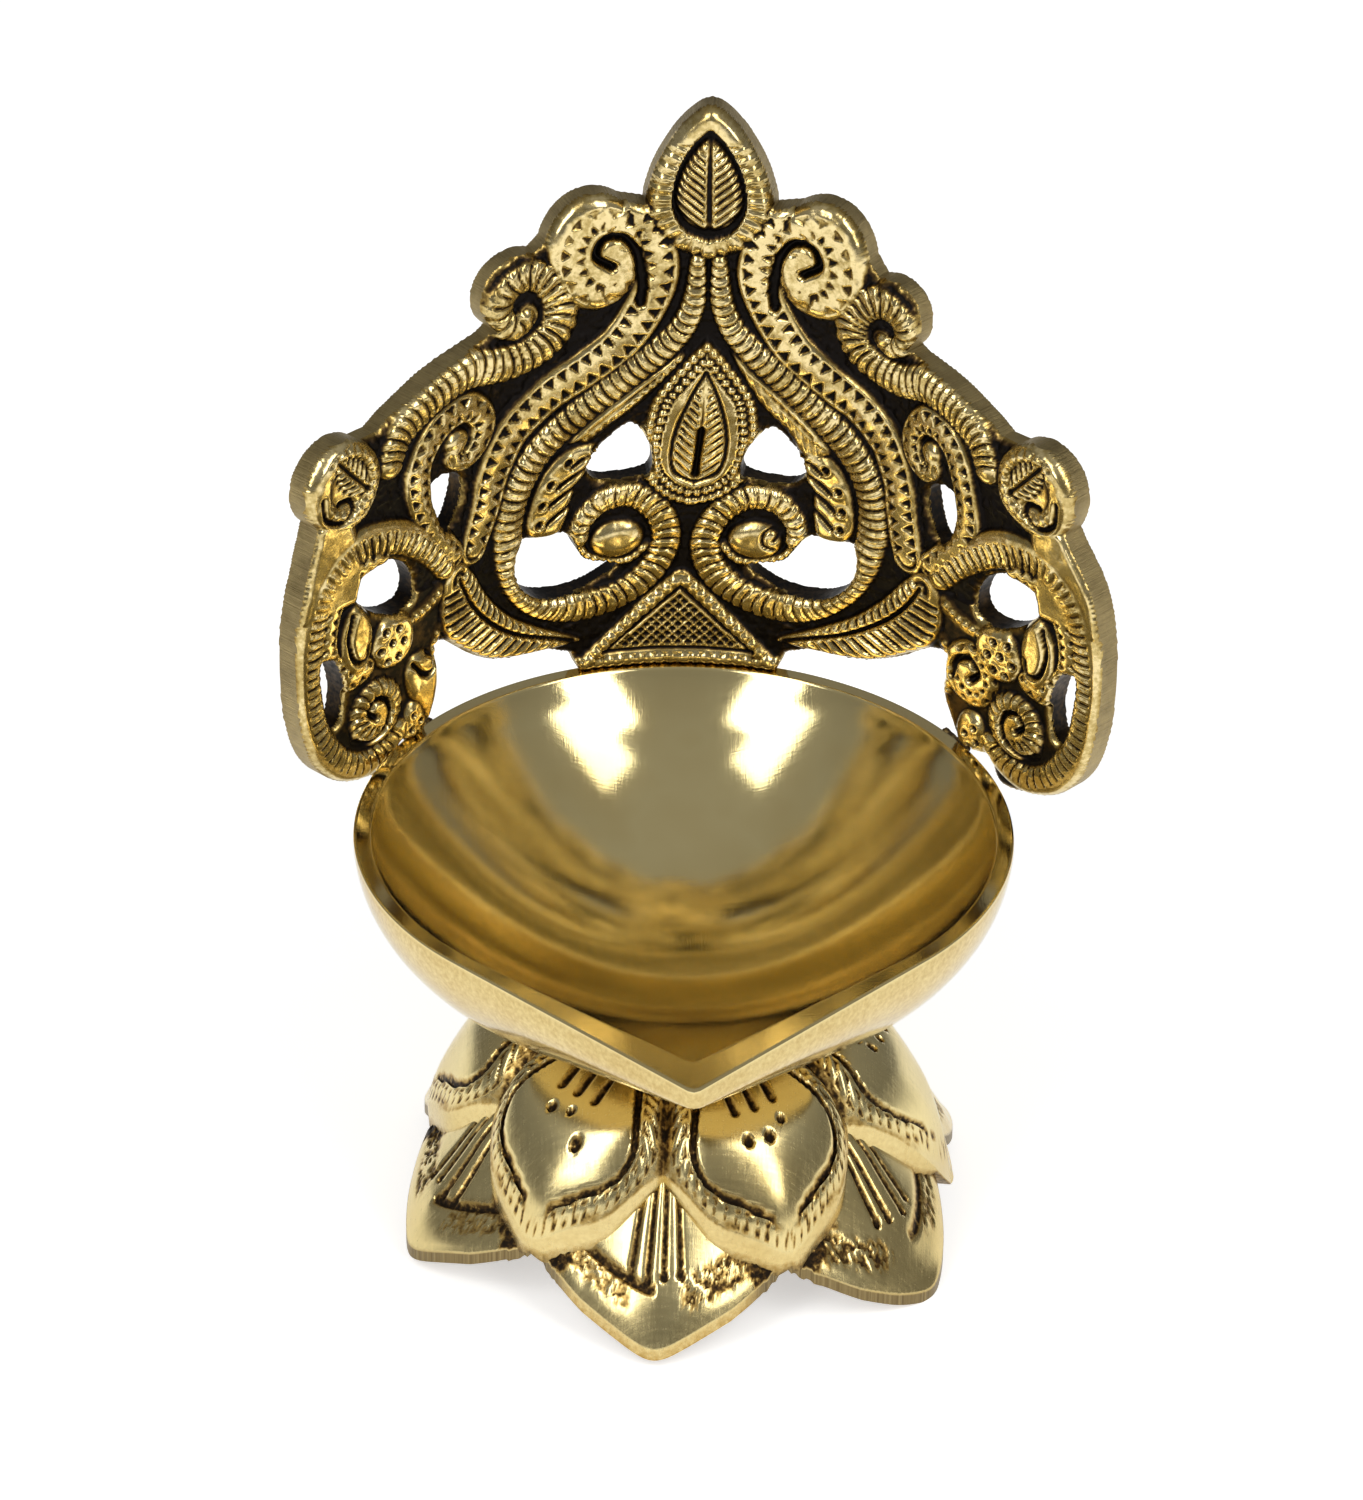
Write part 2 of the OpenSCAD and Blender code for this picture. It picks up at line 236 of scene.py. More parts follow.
class Shader:
    """A small helper that adds nodes to one material and joins them."""

    def __init__(self, name, metallic=1.0, **fixed):
        self.material = bpy.data.materials.new(name)
        self.material.use_nodes = True
        self.tree = self.material.node_tree
        self.surface = self.tree.nodes["Principled BSDF"]
        self.surface.inputs["Metallic"].default_value = metallic
        for key, value in fixed.items():
            self.surface.inputs[key].default_value = value

    def add(self, kind, *links, **values):
        node = self.tree.nodes.new("ShaderNode" + kind)
        for key, value in values.items():
            if hasattr(node, key):
                setattr(node, key, value)
            else:
                node.inputs[key].default_value = value
        for key, source in links:
            self.tree.links.new(source, node.inputs[key])
        return node

    def place(self, scale=(1, 1, 1)):
        coordinates = self.add("TexCoord")
        return self.add("Mapping", ("Vector", coordinates.outputs["Object"]), Scale=scale).outputs[0]

    def noise(self, vector, scale, detail=2.0, roughness=0.5, dimensions="3D"):
        key = "W" if dimensions == "1D" else "Vector"
        node = self.add("TexNoise", (key, vector), noise_dimensions=dimensions, Scale=scale,
                        Detail=detail, Roughness=roughness)
        return node.outputs["Fac"]

    def attribute(self, name):
        return self.add("Attribute", attribute_name=name).outputs["Fac"]

    def feed(self, socket, value):
        """Join an output to a socket, or set the socket to a number or a colour."""
        if isinstance(value, bpy.types.NodeSocket):
            self.tree.links.new(value, socket)
        elif value is not None:
            socket.default_value = (*value, 1) if isinstance(value, tuple) else value

    def math(self, operation, a, b, clamp=False):
        node = self.add("Math", operation=operation, use_clamp=clamp)
        self.feed(node.inputs[0], a)
        self.feed(node.inputs[1], b)
        return node.outputs[0]

    def plus(self, a, b, clamp=False):
        return self.math("ADD", a, b, clamp)

    def times(self, a, b):
        return self.math("MULTIPLY", a, b)

    def curve(self, source, low, high, to_low=0.0, to_high=1.0):
        node = self.add("MapRange", ("Value", source))
        for socket, value in zip(list(node.inputs)[1:5], (low, high, to_low, to_high)):
            socket.default_value = value
        return node.outputs[0]

    def ramp(self, source, *stops):
        node = self.add("ValToRGB", ("Fac", source))
        elements = node.color_ramp.elements
        while len(elements) < len(stops):
            elements.new(0.5)
        for element, (place, colour) in zip(elements, stops):
            element.position = place
            element.color = (*colour, 1)
        return node.outputs[0]

    def mix(self, fac, a, b, blend="MIX"):
        node = self.add("Mix", data_type="RGBA", blend_type=blend)
        for index, value in ((0, fac), (6, a), (7, b)):
            self.feed(node.inputs[index], value)
        return node.outputs[2]

    def bump(self, height, distance, strength=1.0, normal=None):
        links = [("Height", height)] + ([("Normal", normal)] if normal else [])
        return self.add("Bump", *links, Distance=distance, Strength=strength).outputs[0]

    def finish(self, colour, roughness=None, normal=None, metallic=None):
        for key, source in (("Base Color", colour), ("Roughness", roughness), ("Normal", normal),
                            ("Metallic", metallic)):
            self.feed(self.surface.inputs[key], source)
        return self.material


BRIGHT = (0.72, 0.58, 0.29)
GOLD = (0.50, 0.38, 0.15)
AMBER = (0.31, 0.21, 0.06)
OLIVE = (0.29, 0.22, 0.095)
UMBER = (0.065, 0.038, 0.014)
SOOT = (0.006, 0.004, 0.003)


def filing(s, run, filed, distance, normal, spacing, detail, roughness):
    """Strokes across an edge: their pattern, and a bump that shows where the edge is filed."""
    strokes = s.noise(s.times(run, spacing), 1.0, detail, roughness, "1D")
    return strokes, s.bump(s.times(s.math("SUBTRACT", strokes, 0.5), filed), distance, 1.0, normal)


def relief_brass():
    """Cast work: bright tops, brown slopes and near-black ground, with filed sides."""
    s = Shader("relief_brass")
    where = s.place()
    patina, filed, run = s.attribute("patina"), s.attribute("filed"), s.attribute("run")
    fine = s.noise(where, 1400, 3, 0.6)
    broad = s.noise(where, 160, 3)
    uneven = s.plus(patina, s.curve(fine, 0.3, 0.7, -0.11, 0.13))
    uneven = s.plus(uneven, s.curve(broad, 0.3, 0.7, -0.06, 0.17), clamp=True)
    cast = s.ramp(uneven, (0.0, BRIGHT), (0.12, GOLD), (0.32, AMBER), (0.56, UMBER), (0.86, SOOT))
    strokes, grain = filing(s, run, filed, 0.0002, s.bump(fine, 0.00004, 0.45), 4.5, 4, 0.75)
    smears = s.noise(where, 260, 5, 0.7)
    side = s.ramp(s.plus(s.times(strokes, 0.4), s.times(smears, 0.6)),
                  (0.25, (0.11, 0.075, 0.03)), (0.45, OLIVE), (0.56, (0.38, 0.29, 0.13)), (0.75, GOLD))
    rough = s.plus(s.curve(uneven, 0.1, 0.9, 0.19, 0.50), s.curve(fine, 0.3, 0.7, -0.05, 0.07))
    rough = s.math("MAXIMUM", rough, s.times(filed, 0.42))
    return s.finish(s.mix(filed, cast, side), rough, grain, s.curve(uneven, 0.55, 0.95, 1.0, 0.85))


def polished_brass(name, scratches, gloss):
    """Hand-polished brass: pale and mirror-like, with fine scratches and dark metal in its cuts."""
    s = Shader(name)
    where = s.place()
    patina, filed, run = s.attribute("patina"), s.attribute("filed"), s.attribute("run")
    fine = s.noise(where, 1500, 3, 0.6)
    broad = s.noise(where, 45, 3)
    uneven = s.plus(patina, s.times(patina, s.curve(fine, 0.3, 0.7, -0.5, 0.5)), clamp=True)
    clean = s.ramp(broad, (0.3, (0.66, 0.53, 0.245)), (0.5, (0.71, 0.59, 0.29)), (0.7, (0.64, 0.50, 0.215)))
    tarnished = s.ramp(uneven, (0.0, (1, 1, 1)), (0.35, (0.62, 0.5, 0.32)), (0.65, (0.12, 0.08, 0.05)),
                       (1.0, (0.02, 0.013, 0.008)))
    lines = [s.noise(s.place(scale), 1.0, 4, 0.6) for scale in ((4200, 260, 420), (300, 3600, 500))]
    scratch = s.plus(*lines)
    marks = s.bump(scratch, 0.000006 * scratches, 1.0)
    marks = s.bump(s.times(fine, patina), 0.00012, 0.8, marks)
    strokes, marks = filing(s, run, filed, 0.00012, marks, 2.4, 3, 0.7)
    side = s.ramp(strokes, (0.25, (0.13, 0.09, 0.04)), (0.5, (0.21, 0.155, 0.07)), (0.75, (0.30, 0.23, 0.11)))
    colour = s.mix(filed, s.mix(1.0, clean, tarnished, "MULTIPLY"), side)
    rough = s.curve(scratch, 0.7, 1.3, 0.8 * gloss, 1.4 * gloss)
    rough = s.plus(rough, s.curve(uneven, 0.1, 0.9, 0.0, 0.35))
    rough = s.math("MAXIMUM", rough, s.times(filed, 0.4))
    return s.finish(colour, rough, marks, s.curve(uneven, 0.55, 0.95, 1.0, 0.85))


def turned_brass():
    """Dull brass with the rings that a lathe tool leaves."""
    s = Shader("turned_brass")
    blotch = s.noise(s.place(), 300, 4, 0.6)
    rings = s.noise(s.place((40, 40, 9000)), 1.0, 3)
    colour = s.ramp(blotch, (0.3, OLIVE), (0.5, (0.55, 0.40, 0.17)), (0.75, GOLD))
    rough = s.curve(blotch, 0.3, 0.7, 0.28, 0.5)
    return s.finish(colour, rough, s.bump(rings, 0.00003, 0.8))


def braze_metal():
    """Sooty brazing metal with small bright lumps."""
    s = Shader("braze_metal")
    lumps = s.noise(s.place(), 900, 4, 0.65)
    colour = s.ramp(lumps, (0.3, SOOT), (0.5, UMBER), (0.72, (0.42, 0.31, 0.13)))
    rough = s.curve(lumps, 0.3, 0.7, 0.65, 0.38)
    return s.finish(colour, rough, s.bump(lumps, 0.0003, 1.0), s.curve(lumps, 0.4, 0.6, 0.5, 1.0))


relief_metal = relief_brass()
bowl_metal = polished_brass("bowl_brass", 0.8, 0.085)
petal_metal = polished_brass("petal_brass", 1.1, 0.21)
turned_metal = turned_brass()
seam_metal = braze_metal()


# ---- crest: where a point of its flat pattern is ----
# u runs right from the middle and v up from the rim; depth is how far behind the front a point lies.

EAR_SHIFT, KNOB_SHIFT = 2.4, 0.7
SECOND_SCROLL, SCROLL_TILT = (22.5, 56), 1.1


def skew(u, v):
    """How far right the casting stands of its pattern: it leans, and its ears are shifted less high up."""
    ear = smooth(20, 45, np.abs(u))
    shift = EAR_SHIFT + (KNOB_SHIFT - EAR_SHIFT) * smooth(28, 38, v)
    return CREST_LEAN * smooth(5, 45, v) * (1 - ear) + shift * ear


def on_crest(u, v, depth):
    """Where a point of the flat pattern is on the bent crest."""
    s = u + skew(u, v)
    # the second scroll stands higher on the left than on the right
    near = np.exp(-((np.abs(u) - SECOND_SCROLL[0]) / 6) ** 2 - ((v - SECOND_SCROLL[1]) / 6) ** 2)
    z = RIM_Z + v - SCROLL_TILT * np.sign(u) * near
    angle = np.clip(s / CREST_R, -WING_ANGLE, WING_ANGLE)
    beyond = s - angle * CREST_R
    x = CREST_R * np.sin(angle) + beyond * np.cos(angle) + depth * np.sin(angle)
    y = CREST_R * np.cos(angle) - beyond * np.sin(angle) + depth * np.cos(angle)
    return np.stack([x, y, z], -1)


# ---- crest: outline and openings, right half ----

CREST_HALF = np.vstack([
    [[0, 0], [12.3, 0]],
    smooth_run([[13.2, 2.6], [17, 3.9], [21, 4], [25, 5.1], [29, 7.6], [32.5, 10.4], [35.8, 11.4]]),
    smooth_run([[35.5, 8.5], [35.3, 5.6], [36.4, 2.8], [37.6, 0]]),
    smooth_run([[42.8, 0], [44.4, -3.2], [49, -2.6], [54, -0.6], [57.5, 3.6], [59.3, 9.5], [59.8, 16],
                [59.4, 23], [57.8, 29], [54.9, 34.4]]),
    ellipse((49.7, 39.5), 6, 6, -40, 128),
    smooth_run([[43.4, 44.2], [40, 46], [35, 48], [30, 49.2], [27.2, 49.9]]),
    ellipse((22.8, 54.3), 5, 5, -48, 112),
    ellipse((13.7, 58.7), 6.1, 7.8, 14, 122),
    smooth_run([[7.6, 64.6], [7.3, 66.5], [6.2, 70], [3.9, 74.3], [1.5, 77], [0, 77.7]])])

OPENINGS = [
    [[5.8, 27.4], [6, 31.6], [8.2, 34.4], [10.6, 33.2], [13.4, 29.8], [11.6, 26.9]],
    [[8, 14.8], [11, 12.2], [14.4, 11.4], [18, 12], [20.8, 14.2], [22, 17.2], [21.4, 20.4],
     [18, 20.2], [14.8, 20], [12.4, 16.4]],
    [[30.6, 32.4], [33.4, 34], [36, 32.6], [35.6, 29.2], [34, 26.4], [32, 27]],
    [[39.2, 21.4], [40.6, 24.4], [44, 26.2], [48, 26], [49.6, 23.6], [47, 20.4], [43.4, 18.6], [40, 18.8]],
    [[56, 16.6], [55.6, 11.4], [54.4, 6.8], [52.6, 7.4], [52, 11.6], [53.4, 16.2]]]

# the grid over the right half: A runs right from the middle, V runs up from the rim
STEP = 0.2
HALF_WIDTH, V_LOW, V_HIGH = 60.8, -4.6, 78.6
REACH, FAR = 3.2, 9.0
A, V = np.meshgrid(np.arange(0, HALF_WIDTH, STEP), np.arange(V_LOW, V_HIGH, STEP))


def window(low, high, reach):
    """The part of the grid within reach of a box, as two slices."""
    i0 = max(int((low[1] - reach - V_LOW) / STEP), 0)
    i1 = max(int((high[1] + reach - V_LOW) / STEP) + 2, 0)
    j0 = max(int((low[0] - reach) / STEP), 0)
    j1 = max(int((high[0] + reach) / STEP) + 2, 0)
    return slice(i0, i1), slice(j0, j1)


def line_field(line, reach=REACH):
    """Distance from each grid point to a line, the way along it, and which side of it the point is on."""
    distance = np.full(A.shape, FAR)
    along, side = np.zeros(A.shape), np.ones(A.shape)
    start = 0.0
    for p, q in zip(line[:-1], line[1:]):
        step = q - p
        length = math.hypot(*step)
        if length < 1e-6:
            continue
        w = window(np.minimum(p, q), np.maximum(p, q), reach)
        da, dv = A[w] - p[0], V[w] - p[1]
        t = np.clip((da * step[0] + dv * step[1]) / length ** 2, 0, 1)
        d = np.hypot(da - t * step[0], dv - t * step[1])
        nearer = d < distance[w]
        distance[w] = np.where(nearer, d, distance[w])
        along[w] = np.where(nearer, start + t * length, along[w])
        side[w] = np.where(nearer, np.where(step[0] * dv > step[1] * da, 1, -1), side[w])
        start += length
    return distance, along, side


def shape_field(outline):
    """Distance to a closed outline, positive inside it, and the way along it."""
    line = np.vstack([outline, outline[:1]])
    distance, along, _ = line_field(line)
    inside = np.zeros(A.shape, bool)
    w = window(line.min(0), line.max(0), REACH)
    a, v, odd = A[w], V[w], inside[w].copy()
    for p, q in zip(line[:-1], line[1:]):
        if p[1] == q[1]:
            continue
        crosses = (p[1] > v) != (q[1] > v)
        odd ^= crosses & (a < p[0] + (v - p[1]) * (q[0] - p[0]) / (q[1] - p[1]))
    inside[w] = odd
    return np.where(inside, distance, -distance), along


# ---- crest: tool marks ----

def crescents(along, across, pitch, bend=0.4, depth=0.4, sharp=0.105):
    """Cuts across a band, one behind the other like scales; across runs from -1 to 1."""
    number, place = broken(along / pitch + bend * across ** 2)
    cut = np.exp(-((place + 0.12 * (scatter(number) - 0.5)) / sharp) ** 2)
    return depth * (0.7 + 0.5 * scatter(number + 31)) * cut + 0.16 * place


def triangles(along, across, pitch, depth=0.42):
    """Two rows of punched triangles that point at each other."""
    pit = np.zeros(along.shape)
    for middle, direction, shift in ((-0.38, 1, 0.0), (0.38, -1, 0.5)):
        number, place = broken(along / pitch + shift)
        rise = (across - middle) * direction / 0.62 + 0.5
        inside = np.minimum(rise, 0.44 * (1 - rise) - np.abs(place))
        pit = np.maximum(pit, smooth(0, 0.13, inside) * (0.75 + 0.5 * scatter(number + 7 * shift)))
    return depth * pit


def beads(along, offset, pitch, radius, height=0.3):
    """A row of small round bumps on a line; offset is the distance from it."""
    place = broken(along / pitch)[1] * pitch
    return height * np.sqrt(np.clip(1 - (place ** 2 + offset ** 2) / radius ** 2, 0, 1))


class Relief:
    """The heights of raised work above the crest's sunk ground, on the half grid."""

    def __init__(self):
        self.height = np.zeros(A.shape)

    def copy(self):
        other = Relief()
        other.height = self.height.copy()
        return other

    def raise_to(self, height):
        self.height = np.maximum(self.height, height)

    def lower(self, depth, where=True):
        self.height = np.where(where, self.height - depth, self.height)

    def band(self, points, widths, marks, pitch, height, power=0.32, depth=0.4, flip=1, marked=(-1.0, 1.0)):
        """A rounded band along a smooth line, with one kind of tool mark along it.

        marked is the part of its width that carries crescents, from its right edge to its left.
        """
        distance, along, side = line_field(smooth_run(points))
        half = np.interp(along, np.linspace(0, along.max(), len(widths)), widths) / 2
        across = side * distance / half
        on_band = np.abs(across) < 1
        body = height * np.clip(1 - across ** 2, 0, 1) ** power
        if marks == "crescents":
            part = smooth(marked[0] - 0.1, marked[0], across) * smooth(marked[1] + 0.1, marked[1], across)
            body = body - crescents(along, across * flip, pitch, depth=depth) * part
        elif marks == "triangles":
            body = body - triangles(along, across, pitch, depth) * on_band
        elif marks == "beads":
            body = body - 0.25 + beads(along, distance, pitch, pitch * 0.48)
        self.raise_to(np.where(on_band, body, 0))

    def groove(self, points, width, depth=0.9):
        """A cut along a smooth line, which goes no deeper than the ground."""
        distance, _, _ = line_field(smooth_run(points), reach=2)
        cut = depth * np.exp(-(distance / (width * 0.5)) ** 2 * 1.2)
        self.height = np.maximum(self.height - cut, np.minimum(self.height, -0.1))

    def pad(self, outline, height=1.1, edge=1.6, power=0.5):
        """A filled shape with a rounded edge. Returns the distance inside its outline."""
        inside, _ = shape_field(np.asarray(outline))
        t = 1 - np.clip(inside / edge, 0, 1)
        self.raise_to(np.where(inside > 0, height * np.clip(1 - t ** 2, 0, 1) ** power, 0))
        return inside

    def boss(self, centre, rx, ry, height, edge, power=0.5):
        """A rounded oval. Returns the distance inside it."""
        return self.pad(ellipse(centre, rx, ry)[:-1], height, edge, power)

    def dots(self, places, radius=0.5, depth=0.75):
        """Round punch marks, each with a low burr round it."""
        for a, v in places:
            w = window((a, v), (a, v), 2)
            d = np.hypot(A[w] - a, V[w] - v)
            self.height[w] -= depth * smooth(radius * 1.25, radius * 0.6, d)
            self.height[w] += 0.12 * np.exp(-((d - radius * 1.7) / 0.22) ** 2)

    def veins(self, inside, midrib, pitch, slant, depth=0.4, sharp=0.2, margin=0.35, rib=0.5):
        """A midrib and slanting side veins, cut into a leaf."""
        distance, along, _ = line_field(smooth_run(midrib), reach=5)
        _, place = broken((along - distance * slant) / pitch)
        cut = depth * np.exp(-(place / sharp) ** 2) * smooth(margin * 0.4, margin, inside)
        cut = cut * smooth(0.25, 0.7, distance) * (distance < 5)
        cut = np.maximum(cut, rib * np.exp(-(distance / 0.28) ** 2))
        self.lower(cut, inside > 0)


# ---- crest: the pattern ----

FINIAL = [[0, 57.2], [3.8, 58.6], [6.8, 62], [7.3, 66], [6.2, 70], [3.9, 74.3], [1.5, 77], [0, 77.7]]
FINIAL_RING = [[0, 60], [2.6, 61], [4.2, 63.6], [4.5, 66], [3.8, 69.5], [2, 73], [0, 75]]
FINIAL_LEAF = [[0, 61.3], [2, 62.2], [3.4, 64.4], [3.6, 66.4], [2.8, 69.4], [1.4, 72], [0, 73.5]]
MEDALLION = [[0, 24.2], [2.4, 25.2], [4.5, 27.6], [5.4, 31], [5.2, 34.8], [4.6, 38], [3.2, 40.5], [1.6, 43],
             [0, 45]]
MEDALLION_LEAF = [[0, 26.5], [2.6, 28], [3.3, 31], [2.9, 34.5], [1.6, 38.5], [0, 42]]
ROPE = [[1.3, 57], [1.6, 52], [3.0, 48], [5.6, 45], [9.4, 41.8], [13.5, 38.6], [17.4, 35.6], [20.6, 32.4],
        [22.7, 28.5], [23.5, 24], [23.1, 19.5], [21.1, 14.8], [17.6, 11.2], [13.6, 9.6], [9.6, 9.9],
        [5.8, 11.8], [3.2, 14.9], [2.4, 18.5], [3.8, 22.2], [7, 24.6], [10.8, 24.4], [13.2, 22], [13.6, 19.4]]
PUNCHED = [[8.8, 63.2], [6.6, 60], [5.9, 55.5], [7.8, 50.4], [10.8, 46], [15, 43], [20, 40.3], [24, 36.8],
           [26.4, 32.2], [27.2, 28.5], [28.2, 25], [29, 22.4]]
ROPE_WIDTHS = [2.2, 3.1, 3.7, 4.1, 4.3, 4.4, 4.4, 4.4, 4.4, 4.3, 4.2, 4.1, 4.0, 3.9, 3.7, 3.4, 2.7]
SHOULDER = [[42, 39.6], [40.6, 42.6], [37.6, 44.8], [34, 46.2], [30, 47], [25.5, 46.3], [21.2, 47.1],
            [18.4, 49.6], [18.2, 52.9], [20.2, 55.7], [23, 56.4], [25.6, 54.6], [25.8, 51.9], [23.9, 50.5],
            [22.4, 51.4]]
INNER_SCROLL = [[31.8, 37.9], [32.4, 36.2], [30.6, 35.3], [28.7, 37], [28.2, 39.8], [30, 42.2], [33.3, 42.1],
                [36.3, 39.8], [37.9, 36], [38.1, 31.8], [36.6, 27.8], [34.3, 24.8], [32.6, 22.8]]
EAR_RIM = [[34, 21.8], [37, 25.4], [41.5, 28.8], [46.5, 30.4], [51.5, 29.8], [55.4, 26.4], [57.5, 20.5],
           [57.8, 13.5], [56.7, 7], [53.7, 2.1], [49.8, -0.3], [46, 0.1], [43, 2]]
EAR_INNER = [[45.5, 27.6], [50, 27.2], [53.4, 24.2], [54.9, 19.6], [54.2, 15.6], [51.4, 12.9], [48.6, 13.2]]
LOW_LEAF = [[12.3, 5], [17.5, 7.8], [22, 10.8], [25.8, 14.8], [28.5, 18.8], [31.3, 21.6], [34, 20.6],
            [34.8, 16.5], [34, 12.2], [30, 8.6], [25, 5.4], [19, 4.2], [14, 4.3]]
LOW_LEAF_RIB = [[13.4, 4.8], [21, 7.8], [25.8, 11.2], [29.2, 15], [31.4, 19]]
DOTTED_LEAF = [[12.6, 32.6], [16.5, 32.4], [19.2, 29.8], [20.7, 26], [21, 22.6], [19.6, 20.7],
               [16.4, 20.7], [15.2, 23.4], [14.6, 27], [12.8, 29.6]]


SCROLL, SCROLL_RX, SCROLL_RY = (13.7, 58.7), 6.1, 7.8
ROPE_END = (8.5, 18.7)
KNOB, KNOB_RING = (49.7, 39.5), (49.2, 39.9)
EYE = (46.9, 6.3)


def finial(r):
    """The bud at the top: a notched border round a veined leaf in a sunk ring."""
    inside_bud = r.pad(mirrored(smooth_run(FINIAL)), 1.35, 1.9)
    inside_ring, along_ring = shape_field(mirrored(smooth_run(FINIAL_RING)))
    sunk = np.minimum(r.height, 0.15 + 0.1 * noise(A.shape, 2, 8))
    r.height = np.where(inside_ring > 0, sunk, r.height)
    border = (inside_bud > 0.2) & (inside_ring < -0.2) & (V < 73)
    r.lower(crescents(along_ring, -inside_ring / 2 - 0.5, 1.3, 0.2, 0.24, 0.2), border)
    leaf = r.pad((mirrored(smooth_run(FINIAL_LEAF)) - [0, 67]) * [1.14, 1.06] + [0, 67], 1.1, 1.3)
    r.veins(leaf, [[0.1, 61.3], [0, 73.8]], 1.15, 0.85, 0.42)


def medallion(r):
    """The leaf in the middle, inside two rows of beads, with a smooth flare at its shoulder."""
    r.pad(closed_run([[2.6, 45.0], [5.6, 42.6], [10, 39.4], [14.4, 35.8], [16.4, 33], [13.2, 33.8],
                      [9.4, 36.4], [5.8, 40.2]]), 1.1, 1.1)
    r.groove([[5.4, 41.6], [9.4, 38.2], [13.8, 34.6]], 0.45, 0.35)
    r.groove([[6.6, 40.2], [9.6, 37.2], [12.6, 34.8]], 0.4, 0.3)
    border = (mirrored(smooth_run(MEDALLION)) - [0, 34]) * [1.4, 1.16] + [0, 34]
    inside = r.pad(border, 1.15, 1.3)
    _, around = shape_field(border)
    r.lower(0.3 - beads(around, inside - 0.95, 1.2, 0.6, 0.42), (inside > 0.1) & (inside < 1.6))
    r.lower(0.3 - beads(around + 0.6, inside - 2.2, 1.2, 0.55, 0.4), (inside >= 1.6) & (inside < 2.8))
    r.groove(np.vstack([mirrored(smooth_run(MEDALLION_LEAF, steps=3)), MEDALLION_LEAF[:1]]), 0.5, 0.5)
    leaf = r.pad(mirrored(smooth_run(MEDALLION_LEAF)), 1.3, 1.6)
    r.veins(leaf, [MEDALLION_LEAF[0], MEDALLION_LEAF[-1]], 1.2, 0.9, 0.34, margin=0.5, rib=0.25)
    r.groove([[0.05, 27.6], [0, 30.5], [0.05, 33.8]], 0.8, 1.3)


def basket_triangle(r):
    """The cross-hatched triangle over the middle of the rim, in a beaded frame."""
    r.pad([[-12.4, 0.1], [12.4, 0.1], [0, 13.9]], 0.9, 0.8)
    for start, end, reach, pitch, height in (([0.2, 12.6], [11.2, 1.4], 1.05, 1.35, 0.45),
                                             ([-1.0, 1.05], [12.2, 1.05], 1.0, 1.3, 0.4)):
        distance, along, _ = line_field(np.array([start, end]))
        r.raise_to(np.where(distance < reach, 0.85 + beads(along, distance, pitch, 0.8, height), 0))
    r.groove([[0, 11.4], [4.6, 6.8], [9.2, 2.6]], 0.5, 0.6)
    r.groove([[-1, 2.5], [4, 2.5], [9.4, 2.5]], 0.5, 0.6)
    weave, _ = shape_field(np.array([[-8.0, 3.1], [8.0, 3.1], [0, 10.4]]))
    pitch = 1.32
    lattice = np.minimum(*(np.abs(np.sin((A + way * V) * math.pi / pitch)) for way in (1, -1)))
    r.lower(0.5 * smooth(0.25, 0.6, lattice), weave > 0.1)


